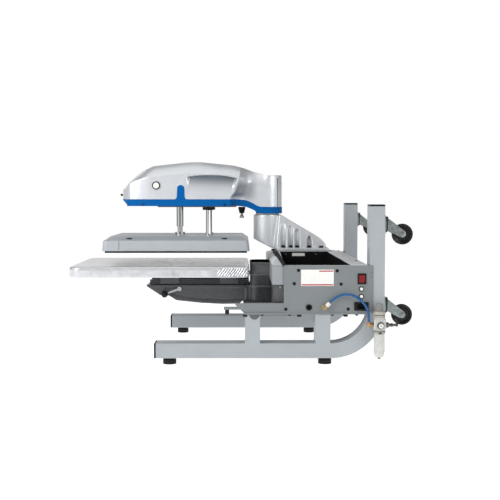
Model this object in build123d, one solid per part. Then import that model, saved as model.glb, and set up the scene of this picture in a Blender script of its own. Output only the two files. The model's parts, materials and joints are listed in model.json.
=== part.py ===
from build123d import *
import math
import os

# Pneumatic heat press with a swinging head and a drawer-style lower platen, on a floor stand
# with two bent side frames. Millimetres, +Z up. The operator stands on the -Y side.
# Everything is drawn in machine coordinates, X = 0 on the centre plane and Z = 0 on the floor,
# and is moved on export so that the origin is the middle of the footprint box.

# ---- Stand: two side frames bent from rectangular tube ----
TUBE_DEPTH = 50.8          # side of the tube in the plane of the bend
TUBE_WIDTH = 76.2          # side of the tube across the machine
TUBE_WALL = 3.0
FRAME_X = 381.0            # centre of each side frame from the centre plane
FOOT_HEIGHT = 23.5
FRAME_FRONT_Y = -287.3
POST_Y = 457.5             # centre of the rear post
BEND_RADIUS = 154.0        # centre-line radius between floor run and post
POST_TOP = 535.0
STRUT_TOP = 172.0
STRUT_YS = (38.8, 275.5)
BEAM_HEIGHT = 40.0
FOOT_YS = (-243.0, 285.0)
FOOT_RADIUS = 22.5
FOOT_NECK = 4.0            # height of the nut above the rubber pad
END_CAP = 6.0
PLUG_DEPTH = 15.0

# ---- Housing ----
SHEET = 2.0                # sheet metal thickness
TRAY_FLOOR = 6.0           # thickness of the base tray floor
TRAY_FLANGE_X = 423.0
TRAY_FRONT_Y = 8.0
TRAY_WALL_HEIGHT = 32.0
PANEL_FRONT_Y = 143.0
PANEL_REAR_Y = 444.0
HOUSE_FRONT_Y = 105.0
HOUSE_HEIGHT = 159.0       # from the tray floor up to the eaves
ROOF_RISE = 28.5
FASCIA_INSET = 3.0         # fascia inside the line of the side panels
FASCIA_HEIGHT = 65.0
SKIRT_INSET = 21.0         # narrower lower half of the front cover
SKIRT_Y = 112.0
TOOL_TRAY_DEPTH = 19.0     # underside of the tool trays below the eaves
TOOL_TRAY_INSET = 5.0
BUMPER_Y = -47.0
BUMPER_INSET = 11.0
BUMPER_HEIGHT = 16.0
LUG_THICK = 8.0

# ---- Base casting, tower and swing axis ----
SWING_Y = 99.4
COLUMN_RADIUS = 52.0
TOWER_HEIGHT = 122.5       # column above the plinth
TOWER_NOSE_DROP = 91.5     # depth of the column at its front
PLINTH_X = 80.0
PLINTH_YS = (134.0, 326.0)
PLINTH_HEIGHT = 12.0
PLINTH_LIFT = 0.5          # clearance of the roof edge below the plinth
BUTTRESS_TOP_X = 45.0
BUTTRESS_FOOT_X = 74.0
TOWER_BOLT_YS = (156.8, 184.5, 208.5, 253.5, 297.8)
TOWER_BOLT_X = 64.0
TOWER_BOLT_RADIUS = 5.0
BOLT_HEAD_RADIUS = 6.5
BOLT_HEAD_HEIGHT = 7.0
BOLT_DEPTH = 16.0          # how far the tower bolts reach into the casting
BOLT_CLEARANCE = 0.2
POCKET_RADIUS = 9.0
SHAFT_RADIUS = 25.0
SHAFT_SOCKET = 88.5        # depth of the shaft in the column
SHAFT_REACH = 135.5        # shaft above the column
BEARING_LENGTH = 46.0
FIT = 0.05                 # radial clearance of every running fit
ARM_X = 60.0
ARM_HEIGHT = 62.0          # arm above the tray floor
ARM_FRONT_Y = -352.0
NECK_X = 85.0
NECK_FRONT_Y = 34.0
NECK_HEIGHT = 147.0
PEDESTAL_X = 82.0
CASTING_WALL = 14.0

# ---- Draw slide and lower platen ----
RAIL_X = 40.0
RAIL_WIDTH = 20.0
RAIL_HEIGHT = 18.0
RAIL_YS = (-340.0, 30.0)
CARRIAGE_X = 92.0
CARRIAGE_PLATE = 12.0
CARRIAGE_YS = (-335.0, 26.0)
LOWER_PLATEN_RISE = 43.0   # platen above the arm
LOWER_PLATEN_THICK = 19.0
LOWER_PLATEN_X = 254.0
LOWER_PLATEN_YS = (-608.6, 26.4)
LOWER_PLATEN_CORNER = 38.0
PAD_THICK = 20.0
LEVER_Y = -229.0
LEVER_DROP = 15.0          # pivot below the top of the arm
LEVER_PIN_RADIUS = 5.0
LEVER_REACH = (-55.0, -20.0)
LEVER_KNOB_RADIUS = 12.5

# ---- Heat platen ----
PRESS_GAP = 44.6           # open height between pad and heat platen
PLATEN_X = 203.0
PLATEN_YS = (-486.5, 21.4)
PLATEN_EDGE = 6.0          # visible edge of the heat platen below its cover
HEATER_RISE = 17.4         # heater block above that edge
HEATER_X = 140.0
HEATER_INSET_Y = 55.0
COVER_X = 206.0
COVER_YS = (-497.0, 31.0)
COVER_SKIRT = 38.2         # vertical side of the cover
COVER_SHOULDER = 14.8      # rise of its sloping shoulder
COVER_TOP_X = 145.0
COVER_TOP_INSET_Y = 26.0
COVER_LIP_X = 146.0
COVER_LIP_INSET_Y = 62.0
COVER_BOLT_X = 175.0
COVER_BOLT_YS = (-400.0, -59.0)
COVER_BOLT_RADIUS = 9.5
CYLINDER_Y = -230.0
ROD_RADIUS = 13.0
ROD_NECK_RADIUS = 9.5
ROD_FLANGE_RADIUS = 19.0
PISTON_RADIUS = 34.0
CYLINDER_RADIUS = 40.0
GUIDE_X = 55.0
GUIDE_Y = -120.6
GUIDE_RADIUS = 9.8
BUSH_RADIUS = 15.0
BUSH_FLANGE_RADIUS = 22.0
BUSH_FLANGE = 11.0

# ---- Head ----
SHELL_WALL = 3.0
TRIM_PROUD = 1.5           # how far the trim stands out of the shell
TRIM_INSET = 5.0
TRIM_HEIGHT = 24.3
TRIM_UNDERCUT = 20.0       # how far the trim draws back under the nose
HEAD_LIFT = 28.5           # underside of the head's bottom plate above the column
HEAD_FLOOR_THICK = 6.0
HEAD_FLOOR_YS = (-305.0, -18.0)
HEAD_COLUMN_RADIUS = 54.0
BEAM_HEIGHT_OVER_FLOOR = 81.0
CYLINDER_LENGTH = 126.0
ROD_TOP = 111.0            # top of piston and guide rods above the head's floor
PISTON_THICK = 18.0
START_BUTTON_Y = -310.0
START_BUTTON_RISE = 107.5  # buttons above the column
START_RADIUS = 11.0
START_BEZEL_RADIUS = 15.0
STOP_BUTTON_RISE = 73.5
STOP_RADIUS = 4.5
STOP_STEM_RADIUS = 3.0
STOP_REACH = 11.5          # centre of the round stop button ahead of the nose
BUTTON_CLEARANCE = 0.3
# half of the head in plan, as (Y, X), from the nose back to the column
HEAD_PLAN = [(-438, 45), (-411, 97), (-370, 105), (-340, 108), (-110, 108),
             (-24, 103), (0, 82), (28, 65), (62, 54)]
# top of the head as (Y, height above the column), from the nose back
HEAD_CREST = [(-438, 91.5), (-418, 113.5), (-354, 165), (-325, 178.5), (-203, 192),
              (-154, 193.5), (-47, 181.5), (67, 153), (107.6, 143.5), (153.4, 146)]
# joint line between shell and trim as (Y, height above the column), from the back forward
SHELL_SEAM = [(153.4, 28.5), (72, 28.5), (62, 32), (43, 43.5), (20, 53.5), (-4, 56.5), (-438, 56.5)]
SHOULDER_RISE = 147.5      # edge between the sides and the sloping shoulders, above the column
SHOULDER_TOP_X = 62.0      # where the shoulders meet the flat crest

# ---- Controls on the right side panel ----
SWITCH = (405.5, 292.0)
SWITCH_SIZE = (29.0, 36.0)
ROCKER_SIZE = (19.0, 26.0)
ROCKER_TILT = 7.0
RESET_BUTTONS = ((404.0, 258.0), (404.0, 233.0))
RESET_RADIUS = 5.5
RESET_RING_RADIUS = 8.5
INLET = (404.0, 199.5)
INLET_SIZE = (48.0, 29.0)
PEDAL_SOCKET = (228.0, 196.0)
PEDAL_SOCKET_RADIUS = 10.5
PANEL_SCREWS = [(192.7, 320.6), (322.3, 318.9), (178.4, 275.8), (335.6, 274.2),
                (150.3, 190.0), (359.7, 190.0), (438.5, 310.0), (438.5, 295.0)]
FLANGE_SCREW_YS = (163.6, 390.0)

# ---- Air supply ----
REGULATOR_STAND = 30.0     # regulator axis outside the post
REGULATOR_Y = 461.0
REGULATOR_HALF = 20.5
REGULATOR_ZS = (127.0, 165.0)
PORT_Z = 140.0
BOWL_RADIUS = 17.5
BOWL_BOTTOM = 31.0
DRAIN_BOTTOM = 26.5
KNOB_RADIUS = 13.0
KNOB_ZS = (187.5, 212.5)
GAUGE_RADIUS = 10.5
GAUGE_DEPTH = 10.0
PLUG_RADIUS = 5.5
PLUG_YS = (492.0, 523.0)
PANEL_FITTING = (281.0, 196.0)
ELBOW_Y = 425.5
ELBOW_TOP = 150.0
HOSE_RADIUS = 4.0
# the hose from the angled fitting over to the regulator's elbow
HOSE_ROUTE = [(433, 298.0, 213.0), (433, 316, 231), (437, 347, 243), (441, 378, 238),
              (445, 403, 220), (448, 420, 196), (449.1, 425.5, 173), (449.1, 425.5, 150.0)]

# ---- Casters on the rear of the posts ----
CASTER_ZS = (201.0, 474.0)
CASTER_PLATE = 62.0
CASTER_PLATE_THICK = 4.0
CASTER_RACE = 4.0
FORK_GAP = 2.0
FORK_THICK = 5.0
FORK_RADIUS = 27.0
LEG_INNER = 15.0
LEG_THICK = 3.0
KINGPIN_RADIUS = 8.0
KINGPIN_HEAD = 11.0
WHEEL_RADIUS = 35.5
WHEEL_WIDTH = 24.0
WHEEL_REACH = 63.0         # wheel centre behind the post
WHEEL_TRAIL = 33.5         # wheel centre below the swivel axis
AXLE_RADIUS = 6.0

# ---- Sizes that follow from the values above ----
RUN_Z = FOOT_HEIGHT + TUBE_DEPTH / 2
RUN_TOP = FOOT_HEIGHT + TUBE_DEPTH
BEND_Y = POST_Y - BEND_RADIUS
BEND_Z = RUN_Z + BEND_RADIUS
POST_REAR_Y = POST_Y + TUBE_DEPTH / 2
POST_FACE_X = FRAME_X + TUBE_WIDTH / 2
TRAY_TOP = STRUT_TOP + TRAY_FLOOR
TRAY_WALL_TOP = TRAY_TOP + TRAY_WALL_HEIGHT
BEND_DROP = max(0.0, BEND_Z - STRUT_TOP)
HOUSE_REAR_Y = BEND_Y + math.sqrt((BEND_RADIUS - TUBE_DEPTH / 2) ** 2 - BEND_DROP ** 2) - 0.8
EAVE_Z = TRAY_TOP + HOUSE_HEIGHT
ROOF_TOP = EAVE_Z + ROOF_RISE
FASCIA_BOTTOM = EAVE_Z - FASCIA_HEIGHT
PLINTH_BASE = ROOF_TOP + PLINTH_LIFT
PLINTH_TOP = PLINTH_BASE + PLINTH_HEIGHT
TOWER_TOP = PLINTH_TOP + TOWER_HEIGHT
SHAFT_FOOT = TOWER_TOP - SHAFT_SOCKET
SHAFT_TOP = TOWER_TOP + SHAFT_REACH
ARM_TOP = TRAY_TOP + ARM_HEIGHT
NECK_TOP = TRAY_TOP + NECK_HEIGHT
LEVER_Z = ARM_TOP - LEVER_DROP
LOWER_PLATEN_BOTTOM = ARM_TOP + LOWER_PLATEN_RISE
PANEL_X = POST_FACE_X      # inner face of the side panels
PANEL_FACE_X = PANEL_X + SHEET
FASCIA_X = PANEL_X - FASCIA_INSET
SKIRT_X = PANEL_X - SKIRT_INSET
BUMPER_X = PANEL_X - BUMPER_INSET
REGULATOR_X = POST_FACE_X + REGULATOR_STAND
RAIL_TOP = ARM_TOP + RAIL_HEIGHT
PAD_TOP = LOWER_PLATEN_BOTTOM + LOWER_PLATEN_THICK + PAD_THICK
PLATEN_BOTTOM = PAD_TOP + PRESS_GAP
COVER_BOTTOM = PLATEN_BOTTOM + PLATEN_EDGE
HEATER_TOP = COVER_BOTTOM + HEATER_RISE
COVER_EDGE_Z = COVER_BOTTOM + COVER_SKIRT
COVER_TOP = COVER_EDGE_Z + COVER_SHOULDER
HEAD_FLOOR = TOWER_TOP + HEAD_LIFT
BEAM_TOP = HEAD_FLOOR + BEAM_HEIGHT_OVER_FLOOR
ROD_TOP_Z = HEAD_FLOOR + ROD_TOP
HEAD_TOP = [(y, TOWER_TOP + rise) for y, rise in HEAD_CREST]
HEAD_SEAM = [(y, TOWER_TOP + rise) for y, rise in SHELL_SEAM]
START_BUTTON = (START_BUTTON_Y, TOWER_TOP + START_BUTTON_RISE)
STOP_BUTTON_Z = TOWER_TOP + STOP_BUTTON_RISE
HUB_BOTTOM = TOWER_TOP + 4.0
HUB_TOP = SHAFT_TOP + 4.0
HUB_RADIUS = 44.0
BEARING_RADIUS = SHAFT_RADIUS + 7.0
SHELL_SIDE_X = max(x for _, x in HEAD_PLAN)
NOSE_Y = HEAD_PLAN[0][0]
WHEEL_Y = POST_REAR_Y + WHEEL_REACH
RACE_FACE_Y = POST_REAR_Y + CASTER_PLATE_THICK + CASTER_RACE
FORK_Y = RACE_FACE_Y + FORK_GAP

# middle of the footprint box, which becomes the origin
BOX_X = (-TRAY_FLANGE_X, REGULATOR_X + REGULATOR_HALF + GAUGE_DEPTH)
BOX_Y = (LOWER_PLATEN_YS[0], WHEEL_Y + WHEEL_RADIUS)
PLACE = Pos(-sum(BOX_X) / 2, -sum(BOX_Y) / 2, 0)


# ---- Drawing helpers ----
def block(x, y, z):
    """A box between a low and a high value on each axis."""
    spans = (x, y, z)
    centre = [(low + high) / 2 for low, high in spans]
    return Pos(*centre) * Box(*[abs(high - low) for low, high in spans])


def wide(half):
    """The span from -half to +half."""
    return (-half, half)


def around(centre, size):
    """The span of a given size about a centre."""
    return (centre - size / 2, centre + size / 2)


def bar(axis, place, radius, low, high):
    """A round bar along an axis; place holds its other two coordinates in X, Y, Z order."""
    rod = Cylinder(radius, high - low, align=(Align.CENTER, Align.CENTER, Align.MIN))
    if axis == "x":
        return Pos(low, *place) * Rot(0, 90, 0) * rod
    if axis == "y":
        return Pos(place[0], low, place[1]) * Rot(-90, 0, 0) * rod
    return Pos(*place, low) * rod


def pipe(axis, place, outer, inner, low, high):
    """A round bar with a bore right through it."""
    return bar(axis, place, outer, low, high) - bar(axis, place, inner, low, high)


def side_face(points):
    """A flat face in the centre plane from (Y, Z) points."""
    return Plane.YZ * make_face(Polyline(*points, close=True))


def side_cut(points, half_width):
    """A (Y, Z) outline carried equally to both sides of the centre plane."""
    return extrude(side_face(points), amount=half_width, both=True)


def slab(points, low, high):
    """An (X, Y) outline raised from one height to another."""
    return Pos(0, 0, low) * extrude(make_face(Polyline(*points, close=True)), amount=high - low)


def frustum(low_x, low_y, low_z, high_x, high_y, high_z):
    """A solid between a lower and an upper rectangle, each given by its X and Y spans."""
    faces = []
    for xs, ys, z in ((low_x, low_y, low_z), (high_x, high_y, high_z)):
        centre = Pos(sum(xs) / 2, sum(ys) / 2, z)
        faces.append(centre * Rectangle(xs[1] - xs[0], ys[1] - ys[0]))
    return loft(faces, ruled=True)


def both_sides(part):
    """A part and its mirror image across the centre plane."""
    return [part, mirror(part, about=Plane.YZ)]


def save(node, *parts):
    """Write one node's solids, moved to the footprint origin."""
    solids = [solid for part in parts for solid in part.solids()]
    shape = solids[0] if len(solids) == 1 else Compound(solids)
    export_step(PLACE * shape, f"parts/{node}.step")


# ---- Stand ----
def tube_path(side, inset):
    """The floor run, bend and post of a side frame, drawn in by the wall for its inside."""
    x = around(side * FRAME_X, TUBE_WIDTH - 2 * inset)
    half = TUBE_DEPTH / 2 - inset
    outer, inner = BEND_RADIUS + half, BEND_RADIUS - half
    run = block(x, (FRAME_FRONT_Y, BEND_Y), (RUN_Z - half, RUN_Z + half))
    bend = pipe("x", (BEND_Y, BEND_Z), outer, inner, *x)
    bend &= block(x, (BEND_Y, BEND_Y + outer), (BEND_Z - outer, BEND_Z))
    post = block(x, (POST_Y - half, POST_Y + half), (BEND_Z, POST_TOP))
    return run + bend + post


def side_frame(side):
    frame = tube_path(side, 0) - tube_path(side, TUBE_WALL)
    for y in STRUT_YS:
        z = (RUN_TOP, STRUT_TOP)
        strut = block(around(side * FRAME_X, TUBE_WIDTH), around(y, TUBE_DEPTH), z)
        inside = block(around(side * FRAME_X, TUBE_WIDTH - 2 * TUBE_WALL),
                       around(y, TUBE_DEPTH - 2 * TUBE_WALL), z)
        frame += strut - inside
    return frame


def frame_end_caps():
    """Black plastic plugs in the open ends of the frame tube."""
    caps = []
    fit = TUBE_WALL + BUTTON_CLEARANCE
    for side in (-1, 1):
        x, plug_x = (around(side * FRAME_X, width) for width in (TUBE_WIDTH, TUBE_WIDTH - 2 * fit))
        front = block(x, (FRAME_FRONT_Y - END_CAP, FRAME_FRONT_Y), around(RUN_Z, TUBE_DEPTH))
        front += block(plug_x, (FRAME_FRONT_Y, FRAME_FRONT_Y + PLUG_DEPTH),
                       around(RUN_Z, TUBE_DEPTH - 2 * fit))
        top = block(x, around(POST_Y, TUBE_DEPTH), (POST_TOP, POST_TOP + END_CAP))
        top += block(plug_x, around(POST_Y, TUBE_DEPTH - 2 * fit), (POST_TOP - PLUG_DEPTH, POST_TOP))
        caps += [front, top]
    return caps


def rubber_feet():
    """Four feet under the stand, and two bench bumpers under the front of the tray."""
    feet = []
    for side in (-1, 1):
        for y in FOOT_YS:
            pad_top = FOOT_HEIGHT - FOOT_NECK
            pad = bar("z", (side * FRAME_X, y), FOOT_RADIUS, 0, pad_top)
            pad = chamfer(pad.edges().filter_by(GeomType.CIRCLE).sort_by(Axis.Z)[-1], 3)
            feet.append(pad + bar("z", (side * FRAME_X, y), FOOT_RADIUS / 2, pad_top, FOOT_HEIGHT))
        feet.append(bar("z", (side * BUMPER_X, BUMPER_Y), 7, STRUT_TOP, STRUT_TOP + BUMPER_HEIGHT))
    return feet


def cross_beams():
    """Box beams that join the struts of the two side frames."""
    beams = []
    length = 2 * FRAME_X - TUBE_WIDTH
    z = (STRUT_TOP - BEAM_HEIGHT, STRUT_TOP)
    for y in STRUT_YS:
        beam = block(around(0, length), around(y, TUBE_DEPTH), z)
        inside = block(around(0, length), around(y, TUBE_DEPTH - 2 * TUBE_WALL),
                       (z[0] + TUBE_WALL, z[1] - TUBE_WALL))
        beams.append(beam - inside)
    return beams


def caster_places():
    """The (X, Z) swivel centre of each caster, right side first."""
    return [(side * FRAME_X, z) for side in (1, -1) for z in CASTER_ZS]


def caster_plates():
    """Mounting plate, ball race and kingpin of each caster, in one piece."""
    plates = []
    plate_face = POST_REAR_Y + CASTER_PLATE_THICK
    for x, z in caster_places():
        plate = block(around(x, CASTER_PLATE), (POST_REAR_Y, plate_face), around(z, CASTER_PLATE))
        plate += bar("y", (x, z), FORK_RADIUS - 5, plate_face, RACE_FACE_Y)
        plate += bar("y", (x, z), KINGPIN_RADIUS, RACE_FACE_Y, FORK_Y + FORK_THICK + 0.5)
        plate += bar("y", (x, z), KINGPIN_HEAD, FORK_Y + FORK_THICK + 0.5, FORK_Y + FORK_THICK + 4)
        for dx in (-1, 1):
            for dz in (-1, 1):
                place = (x + dx * CASTER_PLATE * 0.36, z + dz * CASTER_PLATE * 0.36)
                plate += bar("y", place, 4.5, plate_face, plate_face + 3)
        plates.append(plate)
    return plates


def caster_fork(x, z):
    """A swivelling fork, with the wheel's axle bolt as a second solid."""
    base = bar("y", (x, z), FORK_RADIUS, FORK_Y, FORK_Y + FORK_THICK)
    axle_z = z - WHEEL_TRAIL
    back = FORK_Y + FORK_THICK - 2
    outline = [(back, z + 21), (back, z - 21), (WHEEL_Y - 6, axle_z - 11), (WHEEL_Y + 6, axle_z - 11),
               (WHEEL_Y + 11, axle_z + 3), (WHEEL_Y + 4, axle_z + 11)]
    for side in (-1, 1):
        near = x + side * LEG_INNER
        far = near + side * LEG_THICK
        leg = Pos((near + far) / 2, 0, 0) * side_cut(outline, LEG_THICK / 2)
        base += leg
    base -= bar("y", (x, z), KINGPIN_RADIUS + FIT, FORK_Y, FORK_Y + FORK_THICK)
    half = LEG_INNER + LEG_THICK
    axle = bar("x", (WHEEL_Y, axle_z), AXLE_RADIUS, x - half, x + half)
    base -= axle
    for side in (-1, 1):
        ends = sorted((x + side * half, x + side * (half + 3.5)))
        axle += bar("x", (WHEEL_Y, axle_z), AXLE_RADIUS + 4, *ends)
    return base, axle


def caster_wheel(x, z):
    """A wheel with a stepped hub, bored to run on the axle bolt."""
    centre = (WHEEL_Y, z - WHEEL_TRAIL)
    wheel = bar("x", centre, WHEEL_RADIUS, *around(x, WHEEL_WIDTH))
    wheel = fillet(wheel.edges().filter_by(GeomType.CIRCLE), 4)
    for side in (-1, 1):
        face = x + side * WHEEL_WIDTH / 2
        ends = sorted((face, face - side * 5))
        wheel -= pipe("x", centre, WHEEL_RADIUS - 8, AXLE_RADIUS + 6, *ends)
    hub = bar("x", centre, AXLE_RADIUS + 6, *around(x, 2 * LEG_INNER - 0.6))
    return wheel + hub - bar("x", centre, AXLE_RADIUS + FIT, *around(x, 2 * LEG_INNER))


# ---- Housing ----
def base_tray():
    """Floor plate with side walls, bolted on top of the struts."""
    front_lip = 28
    tray = block(wide(TRAY_FLANGE_X), (TRAY_FRONT_Y, HOUSE_REAR_Y), (STRUT_TOP, TRAY_TOP))
    wall = [(TRAY_FRONT_Y, TRAY_TOP), (HOUSE_REAR_Y, TRAY_TOP), (HOUSE_REAR_Y, TRAY_WALL_TOP),
            (TRAY_FRONT_Y - front_lip, TRAY_WALL_TOP), (TRAY_FRONT_Y - front_lip, TRAY_WALL_TOP - 5)]
    walls = side_cut(wall, PANEL_X) - side_cut(wall, PANEL_X - TRAY_FLOOR)
    lug_z = STRUT_TOP + BUMPER_HEIGHT
    for side in (-1, 1):
        ends = sorted((side * PANEL_X, side * (BUMPER_X - 11)))
        walls += block(ends, (BUMPER_Y - 11, TRAY_FRONT_Y + 22), (lug_z, lug_z + LUG_THICK))
    tray += walls
    for x, y in flange_screw_places():
        tray -= bar("z", (x, y), 3 + BOLT_CLEARANCE, STRUT_TOP, TRAY_TOP)
    return tray - socket_openings(PANEL_X - TRAY_FLOOR, PANEL_X)


def flange_screw_places():
    """One bolt behind each strut and two more along the flange, on both sides."""
    inset = 9
    behind = TUBE_DEPTH / 2 + 7
    ys = [y + behind for y in STRUT_YS] + list(FLANGE_SCREW_YS)
    return [(side * (PANEL_X - inset), y) for side in (-1, 1) for y in ys]


def side_panel(side):
    x = sorted((side * PANEL_X, side * PANEL_FACE_X))
    panel = block(x, (PANEL_FRONT_Y, PANEL_REAR_Y), (TRAY_TOP, EAVE_Z))
    for place in PANEL_SCREWS:
        panel -= bar("x", place, 2 + BOLT_CLEARANCE, *x)
    return panel


def panel_opening(place, size, x):
    """A rectangular opening for a device whose bezel is 3 mm larger all round."""
    fit = 2 * BUTTON_CLEARANCE - 6
    return block(x, around(place[0], size[0] + fit), around(place[1], size[1] + fit))


def socket_openings(*x):
    """Openings for the mains inlet, pedal socket and air fitting between two X values."""
    openings = panel_opening(INLET, INLET_SIZE, x)
    openings += bar("x", PEDAL_SOCKET, PEDAL_SOCKET_RADIUS - 2 + BUTTON_CLEARANCE, *x)
    return openings + bar("x", PANEL_FITTING, 5 + BUTTON_CLEARANCE, *x)


def right_side_panel():
    """The side panel that carries the controls, sockets and air inlet."""
    x = (PANEL_X, PANEL_FACE_X)
    panel = side_panel(1) - socket_openings(*x) - panel_opening(SWITCH, SWITCH_SIZE, x)
    for place in RESET_BUTTONS:
        panel -= bar("x", place, RESET_RADIUS + 1.5 + BUTTON_CLEARANCE, *x)
    return panel


def front_cover():
    """Fascia and narrower skirt, open at the back, with a notch for the casting's neck."""
    cover = block(wide(FASCIA_X), (HOUSE_FRONT_Y, PANEL_FRONT_Y), (FASCIA_BOTTOM, EAVE_Z))
    cover += block(wide(SKIRT_X), (SKIRT_Y, PANEL_FRONT_Y), (TRAY_TOP, FASCIA_BOTTOM))
    cover -= block(wide(FASCIA_X - SHEET), (HOUSE_FRONT_Y + SHEET, PANEL_FRONT_Y),
                   (FASCIA_BOTTOM + SHEET, EAVE_Z))
    cover -= block(wide(SKIRT_X - SHEET), (SKIRT_Y + SHEET, PANEL_FRONT_Y), (TRAY_TOP, EAVE_Z))
    notch = NECK_X + 3
    return cover - block(wide(notch), (HOUSE_FRONT_Y, PANEL_FRONT_Y), (TRAY_TOP, NECK_TOP + 3))


def rear_panel():
    """Sheet between the posts, with a row of cooling slots."""
    half = FRAME_X - TUBE_WIDTH / 2
    y = (HOUSE_REAR_Y - SHEET, HOUSE_REAR_Y)
    panel = block(wide(half), y, (TRAY_TOP, EAVE_Z))
    slots, pitch = 12, 20
    for index in range(slots):
        x = (index - (slots - 1) / 2) * pitch
        panel -= block(around(x, 7), y, (250, 305))
    return panel


def roof_solid():
    """The hipped block under the top cover's outer surface."""
    return frustum(wide(PANEL_FACE_X), (HOUSE_FRONT_Y, HOUSE_REAR_Y), EAVE_Z,
                   wide(PLINTH_X + 4), (139, 324), ROOF_TOP)


def tool_tray_outline(clearance=0.0):
    """The (X, Y) corners of the right tool tray, wider on its outer side."""
    outer_x, inner_x = PANEL_X - TOOL_TRAY_INSET + clearance, PLINTH_X + 10 - clearance
    return [(outer_x, 146 - clearance), (outer_x, 369 + clearance),
            (inner_x, 318 + clearance), (inner_x, 143 - clearance)]


def top_cover():
    """Hipped sheet roof with openings for the tower and the two tool trays."""
    roof = roof_solid()
    shell = roof - Pos(0, 0, -SHEET) * roof
    shell -= block(wide(PLINTH_X + 3), (PLINTH_YS[0] - 3, PLINTH_YS[1] + 3), (EAVE_Z, ROOF_TOP + 5))
    for opening in both_sides(slab(tool_tray_outline(), EAVE_Z - 20, ROOF_TOP + 5)):
        shell -= opening
    return shell


def tool_trays():
    """Sunken black trays whose rims follow the slope of the roof."""
    envelope = roof_solid() + block(wide(PANEL_FACE_X), (HOUSE_FRONT_Y, HOUSE_REAR_Y),
                                    (EAVE_Z - TOOL_TRAY_DEPTH, EAVE_Z))
    floor = EAVE_Z - TOOL_TRAY_DEPTH
    tray = slab(tool_tray_outline(), floor, ROOF_TOP + 5) & envelope
    tray -= slab(tool_tray_outline(-SHEET), floor + SHEET, ROOF_TOP + 5)
    return both_sides(tray)


# ---- Casting, tower and swing ----
def tower_bolt_places():
    return [(side * TOWER_BOLT_X, y) for side in (-1, 1) for y in TOWER_BOLT_YS]


def base_casting():
    """Cantilever arm, neck and hollow pedestal that carries the tower, in one casting."""
    belly = [(ARM_FRONT_Y, 0), (ARM_FRONT_Y, 6), (-300, 41), (-270, 41), (-241, 59),
             (-147, 69), (-67, 73), (TRAY_FRONT_Y - 14, 72)]
    back = [(TRAY_FRONT_Y - 4, TRAY_TOP), (PLINTH_YS[0], TRAY_TOP), (PLINTH_YS[0], ARM_TOP)]
    arm = side_cut([(y, ARM_TOP - drop) for y, drop in belly] + back, ARM_X)
    recess = [(-140, ARM_TOP - 56), (NECK_FRONT_Y - 20, ARM_TOP - 54),
              (NECK_FRONT_Y - 20, ARM_TOP - 12), (-140, ARM_TOP - 12)]
    arm -= side_cut(recess, ARM_X) - side_cut(recess, ARM_X - CASTING_WALL)
    neck = block(wide(NECK_X), (NECK_FRONT_Y, PLINTH_YS[0]), (TRAY_TOP, NECK_TOP))
    neck -= block(wide(NECK_X - CASTING_WALL), (NECK_FRONT_Y + CASTING_WALL, PLINTH_YS[0]),
                  (TRAY_TOP, NECK_TOP - CASTING_WALL))
    pedestal = block(wide(PEDESTAL_X), PLINTH_YS, (TRAY_TOP, PLINTH_BASE))
    roof = BOLT_DEPTH + 8
    pedestal -= block(wide(PEDESTAL_X - CASTING_WALL),
                      (PLINTH_YS[0] + CASTING_WALL, PLINTH_YS[1] - CASTING_WALL),
                      (TRAY_TOP, PLINTH_BASE - roof))
    casting = arm + neck + pedestal
    for place in tower_bolt_places():
        casting -= bar("z", place, TOWER_BOLT_RADIUS + BOLT_CLEARANCE,
                       PLINTH_BASE - BOLT_DEPTH - 1, PLINTH_BASE)
    hole = LEVER_PIN_RADIUS + FIT
    return casting - bar("x", (LEVER_Y, LEVER_Z), hole, ARM_X - 20, ARM_X)


def tower_casting():
    """Round column with a flared buttress behind it, on a bolted plinth."""
    column = bar("z", (0, SWING_Y), COLUMN_RADIUS, PLINTH_BASE, TOWER_TOP)
    back = PLINTH_YS[1] - 8
    buttress = side_cut([(SWING_Y, PLINTH_TOP), (SWING_Y, TOWER_TOP), (149, TOWER_TOP - 2),
                         (270, PLINTH_TOP + 50), (296, PLINTH_TOP + 32), (312, PLINTH_TOP + 15),
                         (back, PLINTH_TOP)], BUTTRESS_FOOT_X)
    flare = [(-BUTTRESS_FOOT_X, PLINTH_TOP), (BUTTRESS_FOOT_X, PLINTH_TOP),
             (BUTTRESS_TOP_X, TOWER_TOP), (-BUTTRESS_TOP_X, TOWER_TOP)]
    flare_face = Pos(0, SWING_Y, 0) * (Plane.XZ * make_face(Polyline(*flare, close=True)))
    buttress &= extrude(flare_face, amount=-(PLINTH_YS[1] - SWING_Y))
    tower = column + buttress
    nose_y = SWING_Y - COLUMN_RADIUS - 2
    tower -= side_cut([(nose_y, TOWER_TOP - TOWER_NOSE_DROP + 1), (PLINTH_YS[0], PLINTH_BASE),
                       (PLINTH_YS[0], PLINTH_BASE - 50), (nose_y, PLINTH_BASE - 50)],
                      COLUMN_RADIUS + 30)
    tower += block(wide(PLINTH_X), PLINTH_YS, (PLINTH_BASE, PLINTH_TOP))
    for x, y in tower_bolt_places():
        side = math.copysign(1, x)
        inner = x - side * 5
        ends = sorted((inner, side * (PLINTH_X + 5)))
        tower -= bar("z", (inner, y), POCKET_RADIUS, PLINTH_TOP, TOWER_TOP - 20)
        tower -= block(ends, around(y, 2 * POCKET_RADIUS), (PLINTH_TOP, TOWER_TOP - 20))
        tower -= bar("z", (x, y), TOWER_BOLT_RADIUS + BOLT_CLEARANCE, PLINTH_BASE, PLINTH_TOP)
    return tower - bar("z", (0, SWING_Y), SHAFT_RADIUS, SHAFT_FOOT, TOWER_TOP)


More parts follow.
